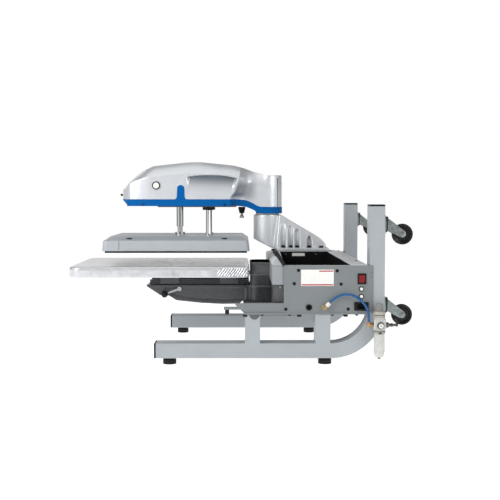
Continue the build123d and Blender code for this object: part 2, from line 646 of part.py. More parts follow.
def base_screws():
    """Tower bolts, side panel screws and the bolts of the tray flange."""
    screws = []
    for place in tower_bolt_places():
        head = bar("z", place, BOLT_HEAD_RADIUS, PLINTH_TOP, PLINTH_TOP + BOLT_HEAD_HEIGHT)
        head -= Pos(*place, PLINTH_TOP + BOLT_HEAD_HEIGHT - 3) * extrude(RegularPolygon(3, 6), 3)
        screws.append(head + bar("z", place, TOWER_BOLT_RADIUS, PLINTH_BASE - BOLT_DEPTH, PLINTH_TOP))
    for side in (-1, 1):
        shank = sorted((side * PANEL_X, side * PANEL_FACE_X))
        head = sorted((side * PANEL_FACE_X, side * (PANEL_FACE_X + 1.8)))
        for place in PANEL_SCREWS:
            screws.append(bar("x", place, 2, *shank) + bar("x", place, 3.6, *head))
    for place in flange_screw_places():
        screw = bar("z", place, 3, STRUT_TOP, TRAY_TOP)
        screws.append(screw + bar("z", place, 5.5, STRUT_TOP - 5, STRUT_TOP))
    return screws


def swing_bearings():
    """Flanged lower bush that carries the head's weight, and a plain upper bush."""
    place = (0, SWING_Y)
    bore = SHAFT_RADIUS + FIT
    lower = pipe("z", place, BEARING_RADIUS, bore, HUB_BOTTOM, HUB_BOTTOM + BEARING_LENGTH)
    lower += pipe("z", place, HUB_RADIUS, bore, TOWER_TOP, HUB_BOTTOM)
    return [lower, pipe("z", place, BEARING_RADIUS, bore, SHAFT_TOP - BEARING_LENGTH, SHAFT_TOP)]


# ---- Head ----
def head_plan(grow, low, high):
    """The head's plan outline, grown by an offset, raised between two heights."""
    right = [(x, y) for y, x in HEAD_PLAN]
    corners = right + [(HEAD_COLUMN_RADIUS, SWING_Y)]
    points = corners + [(-x, y) for x, y in reversed(corners)]
    face = make_face(Polyline(*points, close=True)) + Pos(0, SWING_Y) * Circle(HEAD_COLUMN_RADIUS)
    if grow:
        face = offset(face, amount=grow, kind=Kind.INTERSECTION)
    return Pos(0, 0, low) * extrude(face, amount=high - low)


def shoulder_solid(wall):
    """The head's cross-section with its sloping shoulders, carried along its length."""
    low, crest = TOWER_TOP - 100, max(z for _, z in HEAD_TOP) + 0.5
    edge = TOWER_TOP + SHOULDER_RISE
    right = [(SHELL_SIDE_X, low), (SHELL_SIDE_X, edge), (SHOULDER_TOP_X, crest)]
    face = make_face(Polyline(*right, *[(-x, z) for x, z in reversed(right)], close=True))
    if wall:
        face = offset(face, amount=-wall, kind=Kind.INTERSECTION)
    return extrude(Plane.XZ * face, amount=abs(NOSE_Y) + 200, both=True)


def head_shell():
    """Moulded cover, open underneath, with openings for the screen and buttons."""
    top = HEAD_TOP[5][1] + 10
    bottom = HEAD_SEAM[0][1] - 10
    profile = make_face(Polyline(*(HEAD_TOP + HEAD_SEAM), close=True))
    inner = offset(profile, amount=-SHELL_WALL, kind=Kind.INTERSECTION)
    inner += Pos(0, -4 * SHELL_WALL) * inner
    outside = extrude(Plane.YZ * profile, amount=SHELL_SIDE_X + 5, both=True)
    inside = extrude(Plane.YZ * inner, amount=SHELL_SIDE_X + 5, both=True)
    outside &= shoulder_solid(0)
    inside &= shoulder_solid(SHELL_WALL)
    shell = (outside & head_plan(0, bottom, top)) - (inside & head_plan(-SHELL_WALL, bottom, top))
    shell -= screen_block(0.3)
    shell -= bar("x", START_BUTTON, bezel_neck_radius() + 0.1, *wide(SHELL_SIDE_X + 1))
    return shell - bar("y", (0, STOP_BUTTON_Z), STOP_STEM_RADIUS + BUTTON_CLEARANCE,
                       NOSE_Y, NOSE_Y + 10)


def screen_block(clearance=0.0):
    """The touch screen's slab, let into the sloping facet behind the nose."""
    (y0, z0), (y1, z1) = HEAD_TOP[1], HEAD_TOP[2]
    tilt = math.degrees(math.atan2(z1 - z0, y1 - y0))
    width, length, sunk, proud = 118, 72, 6, 1.5
    slab_box = Box(width + 2 * clearance, length + 2 * clearance, sunk + proud)
    centre = Pos(0, (y0 + y1) / 2, (z0 + z1) / 2)
    return centre * Rot(tilt, 0, 0) * Pos(0, 0, (proud - sunk) / 2) * slab_box


def head_trim():
    """Coloured band along the lower edge of the head, with a finger up each side."""
    band = HEAD_SEAM + [(y, z - TRIM_HEIGHT) for y, z in reversed(HEAD_SEAM)]
    stretch = 10
    band = [(y + math.copysign(stretch, y) if y in (HEAD_SEAM[0][0], NOSE_Y) else y, z)
            for y, z in band]
    low, high = HEAD_SEAM[0][1] - TRIM_HEIGHT - 1, HEAD_SEAM[-1][1] + 1
    front, foot = NOSE_Y - TRIM_PROUD, HEAD_SEAM[-1][1] - TRIM_HEIGHT
    wedge = side_cut([(front, HEAD_SEAM[-1][1]), (front + TRIM_UNDERCUT, foot),
                      (front + TRIM_UNDERCUT, low), (front - 10, low),
                      (front - 10, HEAD_SEAM[-1][1])], SHELL_SIDE_X + 10)
    ring = head_plan(TRIM_PROUD, low, high) - wedge
    ring -= head_plan(-TRIM_INSET, low, high) - Pos(0, TRIM_PROUD + TRIM_INSET, 0) * wedge
    trim = side_cut(band, SHELL_SIDE_X + 10) & ring
    finger_y, finger_radius, finger_top = -220.5, 14, 609
    seam = HEAD_SEAM[-1][1]
    centre_z = finger_top - finger_radius
    for side in (-1, 1):
        x = sorted((side * SHELL_SIDE_X, side * (SHELL_SIDE_X + TRIM_PROUD)))
        trim += block(x, around(finger_y, 2 * finger_radius), (seam - 1, centre_z))
        trim += bar("x", (finger_y, centre_z), finger_radius, *x)
    return trim


def head_beam():
    """Structural arm from the swing hub to the cylinder, with the head's bottom plate."""
    floor_top = HEAD_FLOOR + HEAD_FLOOR_THICK
    plate = head_plan(-TRIM_INSET, HEAD_FLOOR, floor_top)
    plate &= block(wide(SHELL_SIDE_X), HEAD_FLOOR_YS, (HEAD_FLOOR, floor_top))
    wall = 8
    box_y, box_x = (-290, -70), 80
    box = block(wide(box_x), box_y, (floor_top, BEAM_TOP))
    box -= block(wide(box_x - wall), (box_y[0] + wall, box_y[1] - wall), (floor_top, BEAM_TOP - wall))
    neck = block(wide(38), (box_y[1], SWING_Y), (floor_top + 12, BEAM_TOP))
    neck -= block(wide(38 - wall), (box_y[1], SWING_Y), (floor_top + 12 + wall, BEAM_TOP - wall))
    hub = bar("z", (0, SWING_Y), HUB_RADIUS, HUB_BOTTOM, HUB_TOP)
    beam = plate + box + neck + hub
    beam -= bar("z", (0, CYLINDER_Y), CYLINDER_RADIUS, HEAD_FLOOR, BEAM_TOP)
    for side in (-1, 1):
        beam -= bar("z", (side * GUIDE_X, GUIDE_Y), BUSH_RADIUS, HEAD_FLOOR, BEAM_TOP)
    beam -= bar("z", (0, SWING_Y), SHAFT_RADIUS + 2, HUB_BOTTOM, SHAFT_TOP)
    beam -= bar("z", (0, SWING_Y), BEARING_RADIUS, HUB_BOTTOM, HUB_BOTTOM + BEARING_LENGTH)
    return beam - bar("z", (0, SWING_Y), BEARING_RADIUS, SHAFT_TOP - BEARING_LENGTH, SHAFT_TOP)


def air_cylinder():
    """Barrel with closed top and bored bottom cap, hung from a flange on the beam."""
    place = (0, CYLINDER_Y)
    bottom, top, cap = HEAD_FLOOR, HEAD_FLOOR + CYLINDER_LENGTH, 10
    barrel = bar("z", place, CYLINDER_RADIUS, bottom, top)
    barrel += bar("z", place, CYLINDER_RADIUS + 8, BEAM_TOP, BEAM_TOP + 6)
    barrel -= bar("z", place, PISTON_RADIUS, bottom + cap, top - cap)
    return barrel - bar("z", place, ROD_RADIUS + FIT, bottom, bottom + cap)


def guide_bushes():
    """Flanged bushes under the head that the guide rods run in."""
    bushes = []
    for side in (-1, 1):
        place = (side * GUIDE_X, GUIDE_Y)
        bush = bar("z", place, BUSH_FLANGE_RADIUS, HEAD_FLOOR - BUSH_FLANGE, HEAD_FLOOR)
        bush += bar("z", place, BUSH_RADIUS, HEAD_FLOOR, BEAM_TOP + 4)
        bushes.append(bush - bar("z", place, GUIDE_RADIUS + FIT,
                                 HEAD_FLOOR - BUSH_FLANGE, BEAM_TOP + 4))
    return bushes


def bezel_neck_radius():
    return START_RADIUS + 1.5


def button_bezels():
    """Dark rings around the two start buttons."""
    neck = bezel_neck_radius()
    face = SHELL_SIDE_X + 3
    ring = bar("x", START_BUTTON, START_BEZEL_RADIUS, SHELL_SIDE_X, face)
    ring += bar("x", START_BUTTON, neck, SHELL_SIDE_X - 9, SHELL_SIDE_X)
    ring -= bar("x", START_BUTTON, START_RADIUS + BUTTON_CLEARANCE, SHELL_SIDE_X - 9, face)
    return both_sides(ring)


def start_button():
    """The right start button; it slides inwards through its bezel."""
    button = bar("x", START_BUTTON, START_RADIUS, SHELL_SIDE_X - 10, SHELL_SIDE_X + 6)
    rim = button.edges().filter_by(GeomType.CIRCLE).sort_by(Axis.X)[-1]
    return fillet(rim, 1.5)


def stop_button():
    """Small round push button on a stem, ahead of the nose."""
    ball_y = NOSE_Y - STOP_REACH
    stem = bar("y", (0, STOP_BUTTON_Z), STOP_STEM_RADIUS, ball_y, NOSE_Y + 8)
    return stem + Pos(0, ball_y, STOP_BUTTON_Z) * Sphere(STOP_RADIUS)


def exhaust_silencer():
    """Tapered silencer with a sintered tip, screwed up into the beam."""
    place = (0, 3)
    body = Pos(*place, HEAD_FLOOR - 24) * Cone(7, 13, 24, align=(Align.CENTER, Align.CENTER, Align.MIN))
    body += bar("z", place, 8, HEAD_FLOOR, HEAD_FLOOR + HEAD_FLOOR_THICK + 12)
    return body + bar("z", place, 6, HEAD_FLOOR - 42, HEAD_FLOOR - 24)


# ---- Pressing parts that travel with the piston ----
def piston_rod():
    """Piston, rod, narrow neck and platen flange, turned as one piece."""
    place = (0, CYLINDER_Y)
    neck_top = COVER_TOP + 30
    rod = bar("z", place, ROD_RADIUS, neck_top, ROD_TOP_Z)
    rod += bar("z", place, ROD_NECK_RADIUS, HEATER_TOP, neck_top)
    rod += bar("z", place, ROD_FLANGE_RADIUS, COVER_TOP, COVER_TOP + 9)
    return rod + bar("z", place, PISTON_RADIUS - FIT, ROD_TOP_Z - PISTON_THICK, ROD_TOP_Z)


def guide_rods():
    rods = []
    for side in (-1, 1):
        place = (side * GUIDE_X, GUIDE_Y)
        rod = bar("z", place, GUIDE_RADIUS, HEATER_TOP, ROD_TOP_Z)
        rods.append(rod + bar("z", place, GUIDE_RADIUS + 6, COVER_TOP, COVER_TOP + 5))
    return rods


def cover_block(wall):
    """The platen cover's outside, or its inside when drawn in by the wall."""
    x = wide(COVER_X - wall)
    y = (COVER_YS[0] + wall, COVER_YS[1] - wall)
    top_y = (COVER_YS[0] + COVER_TOP_INSET_Y, COVER_YS[1] - COVER_TOP_INSET_Y)
    skirt = block(x, y, (COVER_BOTTOM + wall, COVER_EDGE_Z - wall / 2))
    shoulder = frustum(x, y, COVER_EDGE_Z - wall / 2, wide(COVER_TOP_X), top_y, COVER_TOP - wall)
    return skirt + shoulder


def platen_cover():
    """Sheet cover over the heater, with an inner lip that rests on the platen."""
    cover = cover_block(0) - cover_block(SHEET)
    cover -= block(wide(COVER_LIP_X), (PLATEN_YS[0] + HEATER_INSET_Y - 6, PLATEN_YS[1] - HEATER_INSET_Y + 6),
                   (COVER_BOTTOM, COVER_BOTTOM + SHEET))
    cover -= bar("z", (0, CYLINDER_Y), ROD_NECK_RADIUS + BUTTON_CLEARANCE, COVER_TOP - 5, COVER_TOP)
    for side in (-1, 1):
        cover -= bar("z", (side * GUIDE_X, GUIDE_Y), GUIDE_RADIUS + BUTTON_CLEARANCE,
                     COVER_TOP - 5, COVER_TOP)
        for y in COVER_BOLT_YS:
            cover -= bar("z", (side * COVER_BOLT_X, y), COVER_BOLT_RADIUS + BUTTON_CLEARANCE,
                         COVER_BOTTOM, COVER_TOP)
    return cover


def heat_platen():
    """Thick aluminium platen with the heater block on top."""
    plate = block(wide(PLATEN_X), PLATEN_YS, (PLATEN_BOTTOM, COVER_BOTTOM))
    heater_y = (PLATEN_YS[0] + HEATER_INSET_Y, PLATEN_YS[1] - HEATER_INSET_Y)
    return plate + block(wide(HEATER_X), heater_y, (COVER_BOTTOM, HEATER_TOP))


def cover_bolts():
    """Shouldered bolts that hold the cover down on the platen."""
    bolts = []
    head_z = COVER_EDGE_Z + 4
    for side in (-1, 1):
        for y in COVER_BOLT_YS:
            place = (side * COVER_BOLT_X, y)
            bolt = bar("z", place, COVER_BOLT_RADIUS - 1.5, COVER_BOTTOM, head_z)
            bolts.append(bolt + bar("z", place, COVER_BOLT_RADIUS, head_z, head_z + 8)
                         - bar("z", place, 4, head_z + 4, head_z + 8))
    return bolts


# ---- Draw slide ----
def slide_rails():
    return both_sides(block(around(RAIL_X, RAIL_WIDTH), RAIL_YS, (ARM_TOP, RAIL_TOP)))


def slide_carriage():
    """Plate on four bearing blocks that straddle the rails."""
    plate_z = LOWER_PLATEN_BOTTOM - CARRIAGE_PLATE
    carriage = block(wide(CARRIAGE_X), CARRIAGE_YS, (plate_z, LOWER_PLATEN_BOTTOM))
    length, cheek = 70, 9
    for side in (-1, 1):
        for y in (CARRIAGE_YS[0] + length, CARRIAGE_YS[1] - length):
            carriage += block(around(side * RAIL_X, RAIL_WIDTH + 2 * cheek), around(y, length),
                              (ARM_TOP + 3, plate_z))
        carriage -= block(around(side * RAIL_X, RAIL_WIDTH + 2 * FIT), CARRIAGE_YS,
                          (ARM_TOP, RAIL_TOP + FIT))
    return carriage


def platen_outline(low, high, corner):
    """The lower platen's rectangle with rounded front corners."""
    plate = block(wide(LOWER_PLATEN_X), LOWER_PLATEN_YS, (low, high))
    front = plate.edges().filter_by(Axis.Z).sort_by(Axis.Y)[:2]
    return fillet(front, corner)


def lower_platen():
    return platen_outline(LOWER_PLATEN_BOTTOM, LOWER_PLATEN_BOTTOM + LOWER_PLATEN_THICK,
                          LOWER_PLATEN_CORNER)


def platen_pad():
    """Silicone pad in its slip-on wrapper."""
    return platen_outline(LOWER_PLATEN_BOTTOM + LOWER_PLATEN_THICK, PAD_TOP, LOWER_PLATEN_CORNER)


def lock_lever():
    """Draw lock: pivot pin, flat lever and ball knob beside the arm."""
    x0 = ARM_X + 1
    thick = 6
    reach = math.hypot(*LEVER_REACH)
    tilt = math.degrees(math.atan2(LEVER_REACH[1], LEVER_REACH[0]))
    bar_body = Pos(x0 + thick / 2, LEVER_Y, LEVER_Z) * Rot(tilt, 0, 0) * Pos(0, reach / 2, 0)
    lever = bar_body * Box(thick, reach, 9)
    lever += bar("x", (LEVER_Y, LEVER_Z), 9, x0, x0 + thick)
    lever += bar("x", (LEVER_Y, LEVER_Z), LEVER_PIN_RADIUS, ARM_X - 19, x0)
    knob_x = ARM_X + LEVER_KNOB_RADIUS + 2
    knob = Pos(knob_x, LEVER_Y + LEVER_REACH[0], LEVER_Z + LEVER_REACH[1])
    return lever + knob * Sphere(LEVER_KNOB_RADIUS)


# ---- Controls and electrics ----
def switch_bezel():
    """Frame of the rocker switch, and the rings of the two reset buttons."""
    (y, z), (length, height) = SWITCH, SWITCH_SIZE
    bezel = block((PANEL_FACE_X, PANEL_FACE_X + 3), around(y, length), around(z, height))
    bezel += block((PANEL_X - 22, PANEL_FACE_X), around(y, length - 6), around(z, height - 6))
    gap = 2 * BUTTON_CLEARANCE
    bezel -= block((PANEL_X - 8, PANEL_FACE_X + 3), around(y, ROCKER_SIZE[0] + gap),
                   around(z, ROCKER_SIZE[1] + 1.6))
    bezel -= bar("y", (PANEL_X, z), 1.5 + FIT, *around(y, ROCKER_SIZE[0] + 3))
    rings = []
    for place in RESET_BUTTONS:
        ring = bar("x", place, RESET_RING_RADIUS, PANEL_FACE_X, PANEL_FACE_X + 2)
        ring += bar("x", place, RESET_RADIUS + 1.5, PANEL_X - 14, PANEL_FACE_X)
        rings.append(ring - bar("x", place, RESET_RADIUS + BUTTON_CLEARANCE,
                                PANEL_X - 8, PANEL_FACE_X + 2))
    return [bezel] + rings


def switch_rocker():
    """Rocker cap, tilted to its off side, with its pivot pins."""
    y, z = SWITCH
    cap = Box(8, *ROCKER_SIZE) + Pos(4, 0, 0) * Box(1.6, *ROCKER_SIZE)
    cap = fillet(cap.edges().filter_by(Axis.Y).group_by(Axis.X)[-1], 0.7)
    pins = bar("y", (0, 0), 1.5, *around(0, ROCKER_SIZE[0] + 2.6))
    return Pos(PANEL_X, y, z) * (Rot(0, ROCKER_TILT, 0) * cap + pins)


def reset_button(place):
    button = bar("x", place, RESET_RADIUS, PANEL_X - 5, PANEL_FACE_X + 4.5)
    rim = button.edges().filter_by(GeomType.CIRCLE).sort_by(Axis.X)[-1]
    return fillet(rim, 0.8)


def panel_sockets():
    """Mains inlet with three blades, and the round socket for a foot pedal."""
    (y, z), (length, height) = INLET, INLET_SIZE
    inlet = block((PANEL_FACE_X, PANEL_FACE_X + 3), around(y, length), around(z, height))
    inlet += block((PANEL_X - 26, PANEL_FACE_X), around(y, length - 6), around(z, height - 6))
    mouth = 24.5, 16.5
    inlet -= block((PANEL_X - 16, PANEL_FACE_X + 3), around(y, mouth[0]), around(z, mouth[1]))
    for dy, dz in ((-7, -2), (0, 2), (7, -2)):
        inlet += block((PANEL_X - 16, PANEL_X - 1), around(y + dy, 2), around(z + dz, 4))
    radius = PEDAL_SOCKET_RADIUS
    socket = bar("x", PEDAL_SOCKET, radius, PANEL_FACE_X, PANEL_FACE_X + 3)
    socket += bar("x", PEDAL_SOCKET, radius - 2, PANEL_X - 18, PANEL_FACE_X)
    return [inlet, socket - bar("x", PEDAL_SOCKET, radius - 5, PANEL_X - 12, PANEL_FACE_X + 3)]


def control_board():
    """Printed circuit board with its power supply, on spacers over the tray floor."""
    x, y = (-330, -130), (190, 400)
    board_z = TRAY_TOP + 16
    board = block(x, y, (board_z, board_z + 2))
    board += block((-320, -220), (210, 330), (board_z + 2, board_z + 42))
    board += block((-205, -150), (220, 260), (board_z + 2, board_z + 26))
    for px in (x[0] + 10, x[1] - 10):
        for py in (y[0] + 10, y[1] - 10):
            board += bar("z", (px, py), 4, TRAY_TOP, board_z)
    return board


def valve_block():
    """Solenoid valve island on a manifold."""
    x, y = (170, 300), (190, 250)
    block_top = TRAY_TOP + 34
    valve = block(x, y, (TRAY_TOP, block_top))
    for index in range(3):
        centre = x[0] + 25 + index * 40
        valve += block(around(centre, 28), around(220, 44), (block_top, block_top + 46))
        valve += bar("z", (centre, 220), 9, block_top + 46, block_top + 58)
    return valve


# ---- Air supply ----
def regulator_body():
    """Bracketed body with its collar and adjusting stem."""
    place = (REGULATOR_X, REGULATOR_Y)
    low, high = REGULATOR_ZS
    body = block(around(REGULATOR_X, 2 * REGULATOR_HALF), around(REGULATOR_Y, 2 * REGULATOR_HALF),
                 (low, high))
    body += bar("z", place, REGULATOR_HALF, low - 17, low)
    body += bar("z", place, REGULATOR_HALF - 1.5, high, KNOB_ZS[0])
    body += bar("z", place, 6, KNOB_ZS[0], KNOB_ZS[1] - 6)
    bracket = (POST_FACE_X, REGULATOR_X - REGULATOR_HALF)
    body += block(bracket, around(REGULATOR_Y, 26), (low + 4, high - 4))
    return body + block((POST_FACE_X, POST_FACE_X + 3), around(REGULATOR_Y, 34), (low - 4, high + 14))


def regulator_knob():
    place = (REGULATOR_X, REGULATOR_Y)
    knob = bar("z", place, KNOB_RADIUS, *KNOB_ZS)
    knob = chamfer(knob.edges().filter_by(GeomType.CIRCLE).sort_by(Axis.Z)[-1], 1.5)
    return knob - bar("z", place, 6 + FIT, KNOB_ZS[0], KNOB_ZS[1] - 5.5)


def filter_bowl():
    """Translucent bowl with a rounded bottom and a drain."""
    place = (REGULATOR_X, REGULATOR_Y)
    top = REGULATOR_ZS[0] - 17
    bowl = bar("z", place, BOWL_RADIUS, BOWL_BOTTOM, top)
    bowl = fillet(bowl.edges().filter_by(GeomType.CIRCLE).sort_by(Axis.Z)[0], 8)
    bowl -= bar("z", place, BOWL_RADIUS - 2.5, BOWL_BOTTOM + 9, top)
    return bowl + bar("z", place, 6, DRAIN_BOTTOM, BOWL_BOTTOM + 2)


def pressure_gauge():
    face = REGULATOR_X + REGULATOR_HALF
    gauge = bar("x", (REGULATOR_Y + 2, PORT_Z), GAUGE_RADIUS, face, face + GAUGE_DEPTH)
    dish = bar("x", (REGULATOR_Y + 2, PORT_Z), GAUGE_RADIUS - 2, face + GAUGE_DEPTH - 1.5,
               face + GAUGE_DEPTH)
    return gauge - dish


def air_fittings():
    """Air plug, elbow to the hose, and the angled fitting on the side panel."""
    rear = REGULATOR_Y + REGULATOR_HALF
    plug = extrude(Plane.XZ * RegularPolygon(9, 6), amount=-(PLUG_YS[0] - rear))
    plug = Pos(REGULATOR_X, rear, PORT_Z) * plug
    plug += bar("y", (REGULATOR_X, PORT_Z), PLUG_RADIUS, *PLUG_YS)
    front = REGULATOR_Y - REGULATOR_HALF
    elbow = bar("y", (REGULATOR_X, PORT_Z), 6, ELBOW_Y, front)
    elbow += bar("z", (REGULATOR_X, ELBOW_Y), 7, PORT_Z - 7, ELBOW_TOP)
    y, z = PANEL_FITTING
    mouth = Vector(*HOSE_ROUTE[0])
    start = Vector(mouth.X, y, z)
    stem = bar("x", (y, z), 5, PANEL_X - 8, start.X)
    stem += bar("x", (y, z), 9, PANEL_FACE_X, PANEL_FACE_X + 4)
    barrel = Plane(origin=start, z_dir=mouth - start) * Cylinder(
        7, (mouth - start).length, align=(Align.CENTER, Align.CENTER, Align.MIN))
    return [plug, elbow, stem + barrel + Pos(*start) * Sphere(7)]


def bend_radii(points):
    """The largest sensible arc at each inner point of a hose route."""
    radii = []
    for before, here, after in zip(points, points[1:], points[2:]):
        first, second = here - before, after - here
        half_turn = math.radians(first.get_angle(second)) / 2
        radii.append(0.45 * min(first.length, second.length) / math.tan(half_turn))
    return radii


def air_hose():
    """Soft air line: straight runs joined by tangent arcs."""
    points = [Vector(*point) for point in HOSE_ROUTE]
    radii = bend_radii(points)
    path = FilletPolyline(*points, radius=radii)
    start = Plane(origin=path @ 0, z_dir=path % 0)
    hose = sweep(start * Circle(HOSE_RADIUS), path=path)
    print("hose radii", [round(radius) for radius in radii])
    print("hose volume", round(hose.volume), "section times length",
          round(math.pi * HOSE_RADIUS ** 2 * path.length), "length", round(path.length))
    return hose


def build():
    """Write every node of the machine."""
    os.makedirs("parts", exist_ok=True)
    save("right_side_frame", side_frame(1))
    save("left_side_frame", side_frame(-1))
    save("frame_end_caps", *frame_end_caps())
    save("rubber_feet", *rubber_feet())
    save("cross_beams", *cross_beams())
    save("caster_plates", *caster_plates())
    for number, place in enumerate(caster_places(), start=1):
        save(f"caster_fork_{number}", *caster_fork(*place))
        save(f"caster_wheel_{number}", caster_wheel(*place))
    save("base_tray", base_tray())
    save("right_side_panel", right_side_panel())
    save("left_side_panel", side_panel(-1))
    save("front_cover", front_cover())
    save("rear_panel", rear_panel())
    save("top_cover", top_cover())
    save("tool_trays", *tool_trays())
    save("base_casting", base_casting())
    save("tower_casting", tower_casting())
    save("base_screws", *base_screws())
    save("swing_shaft", bar("z", (0, SWING_Y), SHAFT_RADIUS, SHAFT_FOOT, SHAFT_TOP))
    save("swing_bearings", *swing_bearings())
    save("head_shell", head_shell())
    save("head_trim", head_trim())
    save("head_beam", head_beam())
    save("touch_screen", screen_block())
    save("air_cylinder", air_cylinder())
    save("guide_bushes", *guide_bushes())
    save("button_bezels", *button_bezels())
    save("exhaust_silencer", exhaust_silencer())
    right_button, left_button = both_sides(start_button())
    save("start_button_right", right_button)
    save("start_button_left", left_button)
    save("stop_button", stop_button())
    save("piston_rod", piston_rod())
    save("guide_rods", *guide_rods())
    save("platen_cover", platen_cover())
    save("heat_platen", heat_platen())
    save("cover_bolts", *cover_bolts())
    save("slide_rails", *slide_rails())
    save("slide_carriage", slide_carriage())
    save("lower_platen", lower_platen())
    save("platen_pad", platen_pad())
    save("lock_lever", lock_lever())
    save("switch_bezel", *switch_bezel())
    save("switch_rocker", switch_rocker())
    for name, place in zip(("upper", "lower"), RESET_BUTTONS):
        save(f"reset_button_{name}", reset_button(place))
    save("panel_sockets", *panel_sockets())
    save("control_board", control_board())
    save("valve_block", valve_block())
    save("regulator_body", regulator_body())
    save("regulator_knob", regulator_knob())
    save("filter_bowl", filter_bowl())
    save("pressure_gauge", pressure_gauge())
    save("air_fittings", *air_fittings())
    save("air_hose", air_hose())


build()
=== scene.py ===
import bpy
import bmesh
import json
import math
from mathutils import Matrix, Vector, noise


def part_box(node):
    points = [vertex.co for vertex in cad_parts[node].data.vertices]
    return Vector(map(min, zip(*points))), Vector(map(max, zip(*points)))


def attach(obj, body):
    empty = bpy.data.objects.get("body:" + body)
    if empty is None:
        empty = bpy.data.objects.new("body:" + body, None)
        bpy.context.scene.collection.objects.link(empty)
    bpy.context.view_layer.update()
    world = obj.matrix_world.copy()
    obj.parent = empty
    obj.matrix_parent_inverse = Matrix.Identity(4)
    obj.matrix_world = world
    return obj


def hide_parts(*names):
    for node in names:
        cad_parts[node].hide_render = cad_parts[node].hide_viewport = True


# Pneumatic heat press with a swinging head over a draw-out lower platen. The frame is loaded from
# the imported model; every piece below is finished over one of its sub-parts or stands in for it.
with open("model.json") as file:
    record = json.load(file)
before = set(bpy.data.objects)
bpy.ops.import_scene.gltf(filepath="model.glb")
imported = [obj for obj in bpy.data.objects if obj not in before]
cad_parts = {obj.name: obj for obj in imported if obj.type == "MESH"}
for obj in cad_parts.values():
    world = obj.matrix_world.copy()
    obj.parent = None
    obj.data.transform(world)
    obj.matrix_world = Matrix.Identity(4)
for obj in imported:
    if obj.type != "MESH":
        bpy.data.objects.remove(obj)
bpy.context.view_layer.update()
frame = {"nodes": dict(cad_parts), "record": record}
nodes = frame["nodes"]
record = frame["record"]

# ---- Machine coordinates ----
# Sizes are in millimetres from the centre plane (X), the swing column (Y) and the floor (Z), as the
# part's source has them. The swing shaft gives the place of that centre plane in the frame.
SWING_Y = 99.4
COLUMN_RADIUS = 54.0
SIDE_X = 421.1            # outer face of the side panels
TRAY_WALL_X = 91.4        # inner wall of the tool trays
SIDES = (("right", "+x", 1), ("left", "-x", -1))
shaft_low, shaft_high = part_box("swing_shaft")
SHIFT_X = (shaft_low.x + shaft_high.x) / 2
SHIFT_Y = (shaft_low.y + shaft_high.y) / 2 - SWING_Y / 1000


def place(x, y, z):
    """A point of the machine, from millimetres to the frame's metres."""
    return Vector((x / 1000 + SHIFT_X, y / 1000 + SHIFT_Y, z / 1000))


def machine_box(node):
    """A sub-part's lowest and highest corners in machine millimetres."""
    low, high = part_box(node)
    shift = Vector((SHIFT_X, SHIFT_Y, 0))
    return (low - shift) * 1000, (high - shift) * 1000


# ---- Small maths ----
def ramp(value, low, high):
    """Smooth 0 to 1 as the value goes from low to high."""
    share = min(1.0, max(0.0, (value - low) / (high - low)))
    return share * share * (3 - 2 * share)


def mix(first, second, share):
    return first + (second - first) * share


def along(table, value):
    """Linear reading of a table of (place, value) pairs sorted by place."""
    if value <= table[0][0]:
        return table[0][1]
    for (a, first), (b, second) in zip(table, table[1:]):
        if value <= b:
            return mix(first, second, (value - a) / (b - a))
    return table[-1][1]


def eased(table, value, reach):
    """The table's reading averaged over a short reach, so that its corners are rounded."""
    steps = (-1.0, -0.6, -0.2, 0.2, 0.6, 1.0)
    return sum(along(table, value + reach * step) for step in steps) / len(steps)


def span(side, near, far, middle=0.0):
    """Two distances from a middle as a low and a high value on one side of it."""
    return sorted((middle + side * near, middle + side * far))


def handed(profile, side):
    """A profile of (radius, height) points on one side of its foot."""
    return [(radius, side * height) for radius, height in profile]


# ---- Mesh helpers ----
def linked(name, data):
    """A scene object for a mesh, a curve, a light or a camera."""
    thing = bpy.data.objects.new(name, data)
    bpy.context.scene.collection.objects.link(thing)
    return thing


def new_piece(name, mesh, paint):
    """An object for a mesh, with one finish on it."""
    piece = linked(name, mesh)
    mesh.materials.clear()
    mesh.materials.append(FINISH[paint])
    return piece


def smooth(mesh, degrees):
    """Smooth shading with an edge left sharp where two faces meet at more than the angle."""
    mesh.shade_smooth()
    mesh.set_sharp_from_angle(angle=math.radians(degrees))


def mesh_of(shape, name):
    """A mesh from a bmesh, which is then freed."""
    mesh = bpy.data.meshes.new(name)
    shape.to_mesh(mesh)
    shape.free()
    return mesh


def outward(shape):
    bmesh.ops.recalc_face_normals(shape, faces=shape.faces)


def add_bevel(piece, width, segments=2, degrees=32):
    """A rounded edge of a width in millimetres wherever two faces meet sharply."""
    bevel = piece.modifiers.new("edges", "BEVEL")
    bevel.width = width / 1000
    bevel.segments = segments
    bevel.limit_method = "ANGLE"
    bevel.angle_limit = math.radians(degrees)
    bevel.harden_normals = True
    bevel.use_clamp_overlap = True
    return bevel


def applied(piece):
    """Turns a piece with modifiers into a plain mesh."""
    graph = bpy.context.evaluated_depsgraph_get()
    graph.update()
    mesh = bpy.data.meshes.new_from_object(piece.evaluated_get(graph))
    piece.modifiers.clear()
    piece.data = mesh
    return piece


def shape_of(node):
    """A sub-part's shape as one merged mesh whose flat faces are whole."""
    shape = bmesh.new()
    shape.from_mesh(nodes[node].data)
    bmesh.ops.remove_doubles(shape, verts=shape.verts, dist=3e-6)
    bmesh.ops.dissolve_limit(shape, angle_limit=math.radians(0.7), verts=shape.verts,
                             edges=shape.edges)
    return shape


def body_with(node):
    """The name of the body that a sub-part belongs to."""
    for body, members in record["behaviour"]["bodies"].items():
        if node in members:
            return body


def stands_for(piece, *members):
    """The piece rides with its sub-parts and stands in for them."""
    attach(piece, body_with(members[0]))
    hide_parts(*members)
    return piece


